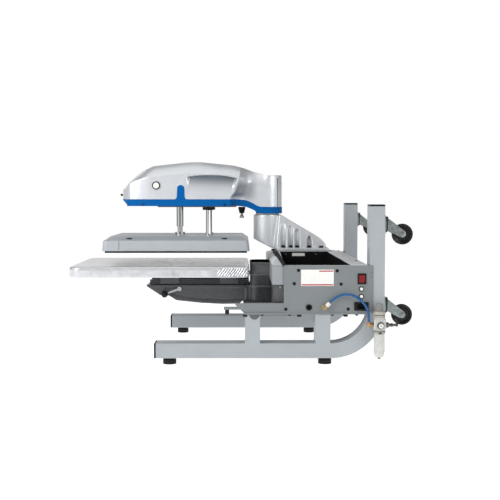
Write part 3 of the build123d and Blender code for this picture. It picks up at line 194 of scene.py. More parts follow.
RIGHTWARD, BACKWARD, UPWARD = Vector((1, 0, 0)), Vector((0, 1, 0)), Vector((0, 0, 1))
TURNING = {"x": (BACKWARD, UPWARD, RIGHTWARD), "y": (UPWARD, RIGHTWARD, BACKWARD),
           "z": (RIGHTWARD, BACKWARD, UPWARD)}


def turned(shape, profile, centre, axis, steps=48):
    """Adds a turned solid: (radius, height) points carried round an axis through the centre."""
    across, upward, ahead = TURNING[axis]
    middle = Vector(centre)
    rings = []
    for radius, height in profile:
        foot = middle + ahead * height
        if radius < 1e-4:
            rings.append([shape.verts.new(place(*foot))])
            continue
        ring = []
        for step in range(steps):
            angle = 2 * math.pi * step / steps
            point = foot + across * (radius * math.cos(angle)) + upward * (radius * math.sin(angle))
            ring.append(shape.verts.new(place(*point)))
        rings.append(ring)
    for lower, upper in zip(rings, rings[1:]):
        for step in range(steps):
            after = (step + 1) % steps
            if len(lower) == 1:
                shape.faces.new((lower[0], upper[after], upper[step]))
            elif len(upper) == 1:
                shape.faces.new((lower[step], lower[after], upper[0]))
            else:
                shape.faces.new((lower[step], lower[after], upper[after], upper[step]))
    for ring, flip in ((rings[0], True), (rings[-1], False)):
        if len(ring) > 1:
            shape.faces.new(ring[::-1] if flip else ring)
    return shape


def boxed(shape, x, y, z):
    """Adds a box between low and high values in machine millimetres."""
    corners = [shape.verts.new(place(a, b, c)) for a in x for b in y for c in z]
    for face in ((0, 1, 3, 2), (4, 6, 7, 5), (0, 4, 5, 1), (2, 3, 7, 6), (0, 2, 6, 4), (1, 5, 7, 3)):
        shape.faces.new([corners[index] for index in face])
    return shape


def plate(shape, outline, axis, low, high):
    """Adds an outline carried along an axis; its points give the other two coordinates."""
    def spot(point, depth):
        a, b = point
        return {"x": (depth, a, b), "y": (a, depth, b), "z": (a, b, depth)}[axis]
    lower = [shape.verts.new(place(*spot(point, low))) for point in outline]
    upper = [shape.verts.new(place(*spot(point, high))) for point in outline]
    shape.faces.new(lower[::-1])
    shape.faces.new(upper)
    count = len(outline)
    for index in range(count):
        after = (index + 1) % count
        shape.faces.new((lower[index], lower[after], upper[after], upper[index]))
    return shape


def ringed(shape, rings):
    """Adds a closed solid through rings of machine points, each with the same number of points."""
    corners = [[shape.verts.new(place(*point)) for point in ring] for ring in rings]
    count = len(rings[0])
    for lower, upper in zip(corners, corners[1:]):
        for index in range(count):
            after = (index + 1) % count
            shape.faces.new((lower[index], lower[after], upper[after], upper[index]))
    shape.faces.new(corners[0][::-1])
    shape.faces.new(corners[-1])
    return shape


def spoked(centre, angle, outline):
    """An outline of (radius, offset) points laid along a spoke that leaves the centre at an angle."""
    (a, b), ahead, aside = centre, math.cos(angle), math.sin(angle)
    return [(a + radius * ahead - off * aside, b + radius * aside + off * ahead)
            for radius, off in outline]


def rounded(corners, radius, steps=5):
    """An outline with each corner rounded."""
    points = []
    count = len(corners)
    for index, corner in enumerate(corners):
        here = Vector(corner)
        to_before = Vector(corners[index - 1]) - here
        to_after = Vector(corners[(index + 1) % count]) - here
        cut = min(radius, to_before.length / 2.01, to_after.length / 2.01)
        start = here + to_before.normalized() * cut
        end = here + to_after.normalized() * cut
        for step in range(steps + 1):
            share = step / steps
            inner = start.lerp(here, share).lerp(here.lerp(end, share), share)
            points.append((inner.x, inner.y))
    return points


def rectangle(centre, size):
    (a, b), (w, h) = centre, size
    return [(a - w / 2, b - h / 2), (a + w / 2, b - h / 2),
            (a + w / 2, b + h / 2), (a - w / 2, b + h / 2)]


def made(name, shape, paint, body, bevel=0.0, segments=2, degrees=32):
    """Finishes a bmesh as a piece that rides on a body."""
    outward(shape)
    mesh = mesh_of(shape, name)
    smooth(mesh, degrees)
    piece = new_piece(name, mesh, paint)
    if bevel:
        add_bevel(piece, bevel, segments, degrees)
    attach(piece, body)
    return piece


def turned_piece(name, profile, centre, axis, steps, paint, body, bevel=0.0):
    """One turned solid, finished as a piece that rides on a body."""
    return made(name, turned(bmesh.new(), profile, centre, axis, steps), paint, body, bevel)


def carve(piece, cutter, whole=True):
    """Takes a closed cutter out of a piece; whole is false where the piece's own solids cross."""
    outward(cutter)
    tool = linked(piece.name + "_cutter", mesh_of(cutter, piece.name + "_cutter"))
    cut = piece.modifiers.new("cut", "BOOLEAN")
    cut.object = tool
    cut.operation = "DIFFERENCE"
    cut.solver = "EXACT"
    cut.use_self = not whole
    applied(piece)
    bpy.data.objects.remove(tool)


def cut_away(shape, cutter, name):
    """A closed shape with another taken out of it."""
    outward(shape)
    body = linked(name, mesh_of(shape, name))
    carve(body, cutter, whole=False)
    left = bmesh.new()
    left.from_mesh(body.data)
    bpy.data.objects.remove(body)
    return left


# ---- Finishes ----
FINISH = {}


def ink(red, green, blue):
    """A colour from its 0 to 255 display values."""
    levels = []
    for value in (red, green, blue):
        level = value / 255
        levels.append(level / 12.92 if level <= 0.04045 else ((level + 0.055) / 1.055) ** 2.4)
    return (*levels, 1.0)


def lighter(colour, factor):
    return (*[min(1.0, max(0.0, level * factor)) for level in colour[:3]], 1.0)


class Finish:
    """A node-based finish: a shader with helpers that add patterns in Object coordinates."""

    def __init__(self, name, colour, rough, metal=0.0, coat=0.0, specular=0.5):
        self.material = bpy.data.materials.new(name)
        self.material.use_nodes = True
        self.tree = self.material.node_tree
        self.tree.nodes.clear()
        self.shader = self.add("ShaderNodeBsdfPrincipled")
        output = self.add("ShaderNodeOutputMaterial")
        self.join(self.shader.outputs["BSDF"], output.inputs["Surface"])
        self.set("Base Color", colour)
        self.set("Roughness", rough)
        self.set("Metallic", metal)
        self.set("Specular IOR Level", specular)
        if coat:
            self.set("Coat Weight", coat)
            self.set("Coat Roughness", 0.06)
        self.coordinates = self.add("ShaderNodeTexCoord").outputs["Object"]
        self.height = None
        FINISH[name] = self.material

    def add(self, kind, **settings):
        node = self.tree.nodes.new(kind)
        for key, value in settings.items():
            setattr(node, key, value)
        return node

    def join(self, start, end):
        self.tree.links.new(start, end)

    def set(self, socket, value):
        self.shader.inputs[socket].default_value = value

    def stretched(self, scale, turn=(0, 0, 0)):
        """Object coordinates stretched and turned."""
        mapping = self.add("ShaderNodeMapping")
        mapping.inputs["Scale"].default_value = scale
        mapping.inputs["Rotation"].default_value = turn
        self.join(self.coordinates, mapping.inputs["Vector"])
        return mapping.outputs["Vector"]

    def cloud(self, scale, detail=3.0, rough=0.55, vector=None, distortion=0.0):
        """A noise pattern, in waves per metre."""
        pattern = self.add("ShaderNodeTexNoise")
        pattern.inputs["Scale"].default_value = scale
        pattern.inputs["Detail"].default_value = detail
        pattern.inputs["Roughness"].default_value = rough
        pattern.inputs["Distortion"].default_value = distortion
        self.join(vector or self.coordinates, pattern.inputs["Vector"])
        return pattern.outputs["Fac"]

    def cells(self, scale, feature="F1", output="Distance"):
        pattern = self.add("ShaderNodeTexVoronoi", feature=feature)
        pattern.inputs["Scale"].default_value = scale
        self.join(self.coordinates, pattern.inputs["Vector"])
        return pattern.outputs[output]

    def spread(self, value, low, high, start=0.3, end=0.7):
        """A pattern brought to a range of numbers."""
        node = self.add("ShaderNodeMapRange")
        for socket, number in (("From Min", start), ("From Max", end), ("To Min", low), ("To Max", high)):
            node.inputs[socket].default_value = number
        self.join(value, node.inputs["Value"])
        return node.outputs["Result"]

    def tint(self, value, first, second, start=0.3, end=0.7):
        """Base colour that goes from one to another as a pattern rises."""
        blend = self.add("ShaderNodeValToRGB")
        blend.color_ramp.elements[0].position = start
        blend.color_ramp.elements[0].color = first
        blend.color_ramp.elements[1].position = end
        blend.color_ramp.elements[1].color = second
        self.join(value, blend.inputs["Fac"])
        self.join(blend.outputs["Color"], self.shader.inputs["Base Color"])
        return blend.outputs["Color"]

    def tint_over(self, base, value, second, start=0.4, end=0.6):
        """Lays a second colour over the first where a pattern is high."""
        over = self.add("ShaderNodeMix", data_type="RGBA")
        self.join(self.spread(value, 0.0, 1.0, start, end), over.inputs["Factor"])
        self.join(base, over.inputs[6])
        over.inputs[7].default_value = second
        self.join(over.outputs[2], self.shader.inputs["Base Color"])
        return over.outputs[2]

    def gloss(self, value, low, high, start=0.3, end=0.7):
        self.join(self.spread(value, low, high, start, end), self.shader.inputs["Roughness"])

    def relief(self, value, strength, depth):
        """Raised and sunken detail, depth in metres; a second call adds to the first."""
        bump = self.add("ShaderNodeBump")
        bump.inputs["Strength"].default_value = strength
        bump.inputs["Distance"].default_value = depth
        self.join(value, bump.inputs["Height"])
        if self.height is not None:
            self.join(self.height, bump.inputs["Normal"])
        self.height = bump.outputs["Normal"]
        self.join(self.height, self.shader.inputs["Normal"])


def powder_coat(slot, colour, rough=0.42, grain=1400, depth=0.00006, mottle=0.04):
    """Sprayed and baked paint: faint mottling, a fine orange-peel skin and uneven gloss."""
    coat = Finish(slot, colour, rough, specular=0.45)
    patches = coat.cloud(9.0, 4.0)
    coat.tint(patches, lighter(colour, 1 - mottle), lighter(colour, 1 + mottle))
    skin = coat.cloud(grain, 2.0, 0.5)
    coat.gloss(coat.cloud(38.0, 3.0), rough - 0.05, rough + 0.07)
    coat.relief(skin, 0.35, depth)
    coat.relief(coat.cloud(grain / 6, 2.0), 0.12, depth * 3)
    return coat


def moulding(slot, colour, rough=0.3, grain=2600, depth=0.00003, gloss_range=0.05, coat=0.0,
             specular=0.5):
    """Injection-moulded plastic: even colour, faint flow marks and a fine spark-eroded texture."""
    plastic = Finish(slot, colour, rough, coat=coat, specular=specular)
    flow = plastic.cloud(14.0, 2.0, vector=plastic.stretched((1, 0.35, 1)))
    plastic.tint(flow, lighter(colour, 0.965), lighter(colour, 1.03))
    plastic.gloss(plastic.cloud(60.0, 3.0), max(0.03, rough - gloss_range), rough + gloss_range)
    plastic.relief(plastic.cloud(grain, 1.0), 0.2, depth)
    return plastic


def bright_metal(slot, colour, rough, stretch, grain=900, depth=0.00002, shade=0.08):
    """Machined, drawn or plated metal with tool marks along one direction."""
    metal = Finish(slot, colour, rough, metal=1.0)
    marks = metal.cloud(grain, 2.0, 0.6, vector=metal.stretched(stretch))
    metal.tint(marks, lighter(colour, 1 - shade), lighter(colour, 1 + shade))
    metal.gloss(marks, rough * 0.75, rough * 1.35)
    metal.relief(marks, 0.25, depth)


def zinc_plate():
    """Bright zinc with soft spangles and faint draw lines."""
    colour = ink(146, 154, 153)
    zinc = Finish("zinc", colour, 0.3, metal=0.9)
    spangle = zinc.cells(140.0, output="Color")
    grey = zinc.add("ShaderNodeRGBToBW")
    zinc.join(spangle, grey.inputs["Color"])
    zinc.tint(grey.outputs["Val"], lighter(colour, 0.74), lighter(colour, 1.08), 0.1, 0.9)
    zinc.gloss(zinc.cloud(80.0, 3.0), 0.22, 0.42)
    zinc.relief(zinc.cloud(700.0, 2.0, vector=zinc.stretched((1, 1, 0.15))), 0.2, 0.00003)


def black_rubber(slot, colour, rough):
    """Moulded rubber with a dusty bloom in its pores."""
    rubber = Finish(slot, colour, rough, specular=0.3)
    bloom = rubber.cloud(55.0, 5.0, 0.65)
    rubber.tint(bloom, lighter(colour, 0.8), lighter(colour, 1.9), 0.35, 0.75)
    rubber.gloss(bloom, rough - 0.12, rough + 0.1)
    rubber.relief(rubber.cloud(1500.0, 2.0), 0.4, 0.00008)


def silver_wrapper():
    """Slick silvery wrapper cloth: a fine weave under a shiny coating, creased by hand."""
    colour = ink(206, 207, 211)
    cloth = Finish("pad_wrap", colour, 0.16, specular=0.8)
    cloth.set("Metallic", 0.35)
    cloth.set("Sheen Weight", 0.15)
    # The fold pattern raises the cloth and tints it in step, darker where it sinks: the cloth's uneven tone
    # together with painted shade in the fold hollows.
    folds = cloth.cloud(26.0, 4.0, 0.6, distortion=0.6)
    base = cloth.tint(folds, lighter(colour, 0.93), lighter(colour, 1.05))
    # Painted shade: the crease attribute darkens the cloth to near black along the creases of the gathers.
    crease_shade = cloth.add("ShaderNodeAttribute", attribute_name="crease")
    cloth.tint_over(base, crease_shade.outputs["Fac"], ink(58, 59, 62), 0.1, 0.9)
    cloth.gloss(cloth.cloud(40.0, 3.0), 0.13, 0.26)
    cloth.relief(folds, 0.35, 0.0012)
    weft = cloth.add("ShaderNodeTexWave", wave_type="BANDS", bands_direction="Y")
    warp = cloth.add("ShaderNodeTexWave", wave_type="BANDS", bands_direction="X")
    both = cloth.add("ShaderNodeMath", operation="ADD")
    for wave, socket in ((weft, 0), (warp, 1)):
        wave.inputs["Scale"].default_value = 420.0
        cloth.join(cloth.coordinates, wave.inputs["Vector"])
        cloth.join(wave.outputs["Fac"], both.inputs[socket])
    cloth.relief(both.outputs[0], 0.06, 0.00006)


def clear_bowl():
    """Cloudy polycarbonate bowl, light enough to show that it is hollow."""
    bowl = Finish("bowl", ink(232, 232, 227), 0.16)
    bowl.set("Transmission Weight", 0.3)
    bowl.set("IOR", 1.5)
    bowl.tint(bowl.cloud(40.0, 2.0), ink(224, 225, 220), ink(240, 240, 236))
    bowl.gloss(bowl.cloud(60.0, 3.0), 0.12, 0.24)
    bowl.relief(bowl.cloud(300.0, 2.0), 0.1, 0.00001)


def screen_glass():
    """Dark cover glass with faint fingermarks."""
    glass = Finish("screen_glass", ink(14, 17, 22), 0.05, coat=0.6)
    smears = glass.cloud(70.0, 5.0, 0.7, distortion=1.2)
    glass.tint(smears, ink(12, 15, 20), ink(24, 29, 36), 0.4, 0.8)
    glass.gloss(smears, 0.03, 0.16, 0.45, 0.75)


def circuit_board():
    """Green solder mask with lighter copper traces under it."""
    board = Finish("board", ink(22, 88, 48), 0.35, coat=0.2)
    traces = board.cells(160.0, feature="DISTANCE_TO_EDGE")
    board.tint(traces, ink(60, 130, 70), ink(18, 78, 42), 0.02, 0.08)
    board.relief(traces, 0.2, 0.00005)


def hose_tube():
    """Blue polyurethane tube with a slight inner glow."""
    colour = ink(4, 84, 140)
    tube = Finish("hose_blue", colour, 0.25)
    tube.set("Subsurface Weight", 0.08)
    tube.set("Subsurface Radius", (0.001, 0.002, 0.004))
    tube.tint(tube.cloud(60.0, 3.0), lighter(colour, 0.9), lighter(colour, 1.15))
    tube.gloss(tube.cloud(120.0, 3.0), 0.18, 0.34)
    tube.relief(tube.cloud(500.0, 2.0), 0.1, 0.00003)


powder_coat("frame_paint", ink(163, 169, 173), rough=0.36, grain=1500)
powder_coat("housing_paint", ink(122, 127, 129), rough=0.44, grain=1100, depth=0.00009)
powder_coat("cover_paint", ink(212, 214, 217), rough=0.42, grain=1100, depth=0.00008)
# Painted shade: a darker copy of the cover paint, for the fascia's upright front.
powder_coat("fascia_shaded_paint", ink(148, 151, 155), rough=0.42, grain=1100, depth=0.00008)
powder_coat("skirt_paint", ink(88, 90, 92), rough=0.4, grain=1100, depth=0.00008)
# Painted light: a lighter copy of the arm's casting paint, for the lit neck and its light-catching flange
# bands.
powder_coat("neck_lit_paint", ink(120, 122, 124), rough=0.32, grain=900, depth=0.00003)
powder_coat("platen_paint", ink(172, 177, 182), rough=0.34, grain=1300)
casting = powder_coat("casting_paint", ink(208, 211, 214), rough=0.33, grain=620, depth=0.00001)
casting.set("Metallic", 0.4)
casting.relief(casting.cloud(120.0, 3.0), 0.08, 0.00008)
# Painted shade: the arm's grey is darkened for the deep shade it lies in under the lower platen.
arm_coat = powder_coat("arm_paint", ink(80, 81, 83), rough=0.28, grain=620, depth=0.00002)
arm_coat.relief(arm_coat.cloud(120.0, 3.0), 0.06, 0.0001)
silver = moulding("head_silver", ink(214, 217, 221), rough=0.34, grain=420, depth=0.000002)
silver.set("Metallic", 0.45)
# Painted shade: the hollow attribute darkens the silver towards blue grey under the leaf's top edge and in
# the scoop behind the ridge.
recess_shade_mix = silver.add("ShaderNodeAttribute", attribute_name="hollow")
silver.tint_over(silver.shader.inputs["Base Color"].links[0].from_socket, recess_shade_mix.outputs["Fac"],
                 ink(112, 119, 128), 0.0, 1.0)
moulding("trim_blue", ink(0, 90, 160), rough=0.5, grain=1300, depth=0.00004, specular=0.08)
moulding("black_plastic", ink(13, 13, 15), rough=0.45, grain=1800, depth=0.00006, specular=0.25)
moulding("tray_black", ink(12, 12, 13), rough=0.7, grain=1800, depth=0.00006, specular=0.12)
moulding("heater_edge", ink(7, 7, 8), rough=0.55, grain=1800, specular=0.12)
moulding("white_plastic", ink(236, 236, 232), rough=0.28)
moulding("red_plastic", ink(128, 2, 6), rough=0.24, specular=0.3)
moulding("grey_plastic", ink(122, 122, 119), rough=0.45, grain=1800, depth=0.00006)
moulding("white_sleeve", ink(226, 224, 216), rough=0.35)
moulding("regulator_cast", ink(196, 197, 193), rough=0.34, grain=1400)
moulding("collar_grey", ink(170, 168, 160), rough=0.4, grain=1600)
moulding("pale_washer", ink(214, 216, 214), rough=0.35)
moulding("knob_grey", ink(136, 136, 132), rough=0.42, grain=1600)
moulding("plate_red", ink(176, 44, 48), rough=0.4)
moulding("ring_pink", ink(188, 120, 116), rough=0.3)
black_rubber("rubber", ink(18, 18, 18), 0.72)
black_rubber("tyre", ink(11, 11, 12), 0.3)
zinc_plate()
bright_metal("black_steel", ink(46, 46, 47), 0.38, (1, 1, 0.3))
bright_metal("ground_steel", ink(206, 208, 211), 0.07, (1, 1, 0.05), grain=1600, depth=0.000002,
             shade=0.03)
bright_metal("plain_steel", ink(172, 174, 177), 0.26, (0.1, 1, 1))
# Painted shade: a darkened steel for the slide rails in the shade under the lower platen and for the
# cover's bolts in their pockets.
bright_metal("dark_rail", ink(66, 67, 70), 0.35, (1, 0.06, 1))
bright_metal("aluminium", ink(200, 203, 206), 0.28, (1, 0.06, 1))
bright_metal("brass", ink(176, 152, 104), 0.3, (1, 1, 0.3))
bright_metal("plug_steel", ink(96, 94, 92), 0.3, (1, 1, 0.3))
silver_wrapper()
clear_bowl()
screen_glass()
circuit_board()
hose_tube()


# ---- Camera, light and floor ----
CAMERA_PLACE = (3620, 0, 566)
CAMERA_AIM = (-958, 9, -53)
LENS = 68.98
LIGHTS_AIM = (0, 0, 330)
SOFT_BOXES = (            # name, place, width and height in metres, watts
    ("front_left_box", (2300, -2300, 1650), (1.6, 1.6), 58.0),
    ("front_right_box", (2500, 2300, 1500), (0.8, 1.6), 26.0),
    ("overhead_box", (500, -300, 2700), (2.2, 2.2), 15.0),
    ("far_side_box", (-2400, -1800, 1500), (1.6, 1.6), 7.0))
FLAGS = ((0.04, 0.85), (0.1, 0.1), (0.46, 0.1), (0.6, 0.9), (0.88, 1.0), (0.95, 0.4), (1.0, 0.25))
FLOOR_GLOW = 0.86


def white_studio():
    """White cove: bright near the horizon, dimmer overhead, and plain white behind the machine."""
    world = bpy.data.worlds.new("studio")
    world.use_nodes = True
    tree = world.node_tree
    direction = tree.nodes.new("ShaderNodeTexCoord").outputs["Generated"]
    parts = tree.nodes.new("ShaderNodeSeparateXYZ")
    tree.links.new(direction, parts.inputs["Vector"])
    rays = tree.nodes.new("ShaderNodeLightPath")

    def falling(horizon, overhead):
        level = tree.nodes.new("ShaderNodeMapRange")
        for socket, number in (("From Min", 0.4), ("From Max", 0.85),
                               ("To Min", horizon), ("To Max", overhead)):
            level.inputs[socket].default_value = number
        tree.links.new(parts.outputs["Z"], level.inputs["Value"])
        return level.outputs["Result"]

    def chosen(ray, first, second=None):
        level = tree.nodes.new("ShaderNodeMix")
        tree.links.new(rays.outputs[ray], level.inputs["Factor"])
        tree.links.new(first, level.inputs[2])
        level.inputs[3].default_value = 1.0
        if second:
            tree.links.new(second, level.inputs[3])
        return level.outputs[0]

    flags = tree.nodes.new("ShaderNodeValToRGB")       # dark flags and bright panels, left to right
    steps = flags.color_ramp.elements
    for number, (position, level) in enumerate(FLAGS):
        step = steps[number] if number < 2 else steps.new(position)
        step.position = position
        step.color = (level, level, level, 1.0)
    half = tree.nodes.new("ShaderNodeMapRange")
    half.inputs["From Min"].default_value = -1.0
    tree.links.new(parts.outputs["X"], half.inputs["Value"])
    tree.links.new(half.outputs["Result"], flags.inputs["Fac"])
    flagged = tree.nodes.new("ShaderNodeMath")
    flagged.operation = "MULTIPLY"
    tree.links.new(falling(1.0, 0.15), flagged.inputs[0])
    tree.links.new(flags.outputs["Color"], flagged.inputs[1])
    lit = chosen("Is Glossy Ray", falling(0.3, 0.12), flagged.outputs[0])
    background = tree.nodes["Background"]
    tree.links.new(chosen("Is Camera Ray", lit), background.inputs["Strength"])
    background.inputs["Color"].default_value = (1.0, 1.0, 1.0, 1.0)
    return world


def studio():
    """Camera at the operator's right, soft boxes either side of it, and a pale floor."""
    camera = linked("camera", bpy.data.cameras.new("camera"))
    camera.location = place(*CAMERA_PLACE)
    camera.rotation_mode = "QUATERNION"
    camera.rotation_quaternion = Vector(CAMERA_AIM).to_track_quat("-Z", "Y")
    camera.data.lens = LENS
    camera.data.sensor_width = 36.0
    camera.data.clip_start, camera.data.clip_end = 0.05, 60.0
    bpy.context.scene.camera = camera
    bpy.context.scene.world = white_studio()
    bpy.context.scene.view_settings.view_transform = "Standard"
    for name, spot, size, power in SOFT_BOXES:
        lamp = bpy.data.lights.new(name, "AREA")
        lamp.shape = "RECTANGLE"
        lamp.size, lamp.size_y = size
        lamp.energy = power
        light = linked(name, lamp)
        light.location = place(*spot)
        light.rotation_mode = "QUATERNION"
        light.rotation_quaternion = (place(*LIGHTS_AIM) - light.location).to_track_quat("-Z", "Y")
    sheet = bmesh.new()
    bmesh.ops.create_grid(sheet, x_segments=1, y_segments=1, size=9.0)
    surface = Finish("pale_floor", (0.93, 0.93, 0.93, 1.0), 0.6, specular=0.15)
    surface.tint(surface.cloud(3.0, 3.0), (0.59, 0.59, 0.59, 1.0), (0.61, 0.61, 0.61, 1.0))
    surface.set("Emission Color", (1.0, 1.0, 1.0, 1.0))
    surface.set("Emission Strength", FLOOR_GLOW)
    floor = linked("floor", mesh_of(sheet, "floor"))
    floor.data.materials.append(surface.material)


studio()


# ---- Air hose ----
HOSE_ROUTE = [(433, 298.0, 213.0), (433, 316, 231), (437, 347, 243), (441, 378, 238),
              (445, 403, 220), (448, 420, 196), (449.1, 425.5, 173), (449.1, 425.5, 150.0)]


def air_hose():
    """Blue air line from the angled fitting over to the regulator's elbow."""
    curve = bpy.data.curves.new("air_hose", "CURVE")
    curve.dimensions = "3D"
    spline = curve.splines.new("NURBS")
    spline.points.add(len(HOSE_ROUTE) - 1)
    for point, spot in zip(spline.points, HOSE_ROUTE):
        point.co = (*place(*spot), 1.0)
    spline.order_u = 3
    spline.use_endpoint_u = True
    spline.resolution_u = 12
    curve.bevel_depth = 0.004
    curve.bevel_resolution = 6
    curve.use_fill_caps = True
    hose = linked("blue_air_hose", curve)
    curve.materials.append(FINISH["hose_blue"])
    stands_for(hose, "air_hose")


air_hose()


# ---- Head shell and its trim ----
# Heights are above the top of the tower column; stations run along Y from the nose to the column.
TOWER_TOP = machine_box("tower_casting")[1].z
NOSE_Y = machine_box("head_shell")[0].y
HEAD_BACK = SWING_Y + COLUMN_RADIUS
RIDGE_Y = -20.0           # station of the ridge where the waist starts
WAIST_END = 66.0
WAIST_DEPTH = 50.0
HEAD_PLAN = [(-438, 45), (-411, 97), (-370, 105), (-340, 108), (-110, 108), (-10, 104)]
SEAM = [(-438, 56.5), (-4, 56.5), (20, 53.5), (43, 43.5), (62, 32), (72, 28.5), (154, 28.5)]
SHOULDER = [(-438, 87.5), (-411, 112), (-386, 125), (-344, 137.5), (-270, 147), (-198, 152),
            (-100, 149.5), (-7, 131.5), (33, 120.5), (77, 109.5), (92, 91.5), (104, 64.5)]
CREST = [(-438, 91.5), (-418, 113.5), (-354, 165), (-325, 178.5), (-203, 192), (-154, 193.5),
         (-47, 181.5), (67, 153), (107.6, 143.5), (153.4, 146)]
RIDGE = [(66, -40), (80, -28), (100, -20), (120, -12), (132, -7), (160, -2)]
CREST_SHARE = 0.58        # flat crest as a share of the half width
LEAF_TOP = [(-196, 140.5), (-160, 144.6), (-110, 146.2), (-70, 143.5), (-30, 135.1)]
LEAF_FOOT = [(-196, 71.5), (-30, 63.5)]
LEAF_DEPTH = 11.0
SCOOP_SHADE = 0.85        # painted shade in the scoop behind the ridge, as a share of the leaf's darkest painted shade
SHELL_WALL = 3.0
COLUMN_ROUND = 7.0        # radius round the top of the column
SIDE_SEAM_Y = 136.2       # upright joint line of the column's rear cover
SEAM_GROOVE = 1.6
SIDE_ROWS, SHOULDER_ROWS, CREST_ROWS = 34, 15, 6
COLUMN_TURNS = 26


def ridge_shift(y, rise):
    """How far a station moves along Y at a height, so that one of them follows the ridge."""
    tent = ramp(y, -200, RIDGE_Y) if y < RIDGE_Y else 1 - ramp(y, RIDGE_Y, WAIST_END)
    return (eased(RIDGE, rise, 6) - RIDGE_Y) * tent


def head_half_width(y):
    """Half width of the side at a station: full to the ridge, then drawn in to the column."""
    if y >= SWING_Y:
        return math.sqrt(max(0.0, COLUMN_RADIUS ** 2 - (y - SWING_Y) ** 2))
    if y <= RIDGE_Y:
        return eased(HEAD_PLAN, y, 8)
    share = min(1.0, (y - RIDGE_Y) / (WAIST_END - RIDGE_Y))
    return COLUMN_RADIUS + WAIST_DEPTH * (1 - share) ** 3.6


def leaf_depth(y, rise):
    """The leaf-shaped hollow in each side: crisp along its top, running out at its foot."""
    ends = ramp(y, -200, -188) * (1 - ramp(y, -33, -27))
    below = ramp(along(LEAF_TOP, y) - rise, -0.5, 3.5)
    above = ramp(rise - along(LEAF_FOOT, y), 4, 74) ** 1.9
    return LEAF_DEPTH * ends * below * above


def painted_hollow_shade(y, rise):
    """How strong the painted shade is: strongest under the leaf's top edge and in the scoop behind the
    ridge.
    """
    leaf = ramp(y, -200, -190) * (1 - ramp(y, -32, -27)) * ramp(along(LEAF_TOP, y) - rise, -0.5, 2.5)
    leaf *= ramp(rise - along(LEAF_FOOT, y), 14, 74) ** 1.3
    scoop = ramp(y, RIDGE_Y + 1, RIDGE_Y + 9) * (1 - ramp(y, 14, 68)) ** 0.8
    scoop *= ramp(rise, 40, 78) * (1 - ramp(rise, 104, 140))
    return max(leaf, SCOOP_SHADE * scoop)


def head_section(y):
    """Right half of the shell at a station, from the trim up to the middle of the crest."""
    half = head_half_width(y)
    foot, shoulder, top = eased(SEAM, y, 6), eased(SHOULDER, y, 5), eased(CREST, y, 9)
    points = []
    for step in range(SIDE_ROWS + 1):
        rise = mix(foot, shoulder - 4, step / SIDE_ROWS)
        points.append((half - leaf_depth(y, rise), rise))
    points.append((half - 0.35, shoulder - 1.2))
    share = mix(CREST_SHARE, max(0.0, (half - 3) / max(half, 1e-3)), ramp(y, 58, 104))
    crest_half = half * share
    for step in range(1, SHOULDER_ROWS):
        slope = step / SHOULDER_ROWS
        bulge = 3.2 * math.sin(math.pi * slope)
        points.append((mix(half, crest_half, slope) + bulge * 0.5, mix(shoulder, top, slope) + bulge))
    points.append((crest_half, top + 0.4))
    for step in range(1, CREST_ROWS + 1):
        slope = step / CREST_ROWS
        points.append((crest_half * (1 - slope), top + 0.4 + 1.6 * (1 - (1 - slope) ** 2)))
    return points


def head_point(y, side, x, rise):
    """Places a section point, with the ridge, the joint line and the rounded top of the column."""
    shifted = y + ridge_shift(y, rise)
    if abs(y - SIDE_SEAM_Y) < 0.8 and x > 5:
        x -= SEAM_GROOVE
    if y > SWING_Y - 30:
        reach = math.hypot(x, max(0.0, y - SWING_Y)) - (COLUMN_RADIUS - COLUMN_ROUND)
        if reach > 0 and rise > 120:
            rise -= COLUMN_ROUND - math.sqrt(COLUMN_ROUND ** 2 - min(COLUMN_ROUND, reach) ** 2)
    return place(side * x, shifted, TOWER_TOP + rise)


def head_stations():
    """Stations along the shell, closer together where its shape turns."""
    stations = [NOSE_Y + 27 * (step / 12) ** 1.3 for step in range(12)]
    y = -411.0
    while y < RIDGE_Y - 6:
        stations.append(y)
        y += 4.0
    stations += [RIDGE_Y - 5, RIDGE_Y - 2.5, RIDGE_Y, RIDGE_Y + 2.5, RIDGE_Y + 5]
    y = RIDGE_Y + 8
    while y < SWING_Y:
        stations.append(y)
        y += 3.6
    for step in range(COLUMN_TURNS):
        stations.append(SWING_Y + COLUMN_RADIUS * math.sin(math.pi / 2 * step / COLUMN_TURNS))
    stations += [SIDE_SEAM_Y - 1.3, SIDE_SEAM_Y, SIDE_SEAM_Y + 1.3, HEAD_BACK - 0.02]
    return sorted(stations)


def head_shell():
    """Silver moulded cover of the swinging head, with a hollow leaf in each side and a waist."""
    shape = bmesh.new()
    # Each point carries the strength of its painted shade.
    hollow = shape.verts.layers.float.new("hollow")
    rows = []
    for y in head_stations():
        half = head_section(y)
        row = [head_point(y, 1, x, rise) for x, rise in half]
        row += [head_point(y, -1, x, rise) for x, rise in half[-2::-1]]
        rows.append([shape.verts.new(point) for point in row])
        for vert, (x, rise) in zip(rows[-1], half + half[-2::-1]):
            vert[hollow] = painted_hollow_shade(y, rise)
    for before, after in zip(rows, rows[1:]):
        for index in range(len(before) - 1):
            shape.faces.new((before[index], before[index + 1], after[index + 1], after[index]))
    shape.faces.new(rows[0])
    bmesh.ops.remove_doubles(shape, verts=shape.verts, dist=1e-5)
    outward(shape)
    mesh = mesh_of(shape, "head_shell_moulding")
    smooth(mesh, 44)
    piece = new_piece("head_shell_moulding", mesh, "head_silver")
    wall = piece.modifiers.new("wall", "SOLIDIFY")
    wall.thickness = SHELL_WALL / 1000
    wall.offset = -1.0
    applied(piece)
    stands_for(piece, "head_shell")


TRIM_HEIGHT = 24.3
TRIM_PROUD = 1.5
TRIM_DEPTH = 6.0
FINGER_Y = -220.5
FINGER_HALF = 14.0
FINGER_TOP = 109.0
FINGER_FLARE = 9.0
FINGER_SPAN = FINGER_HALF + FINGER_FLARE


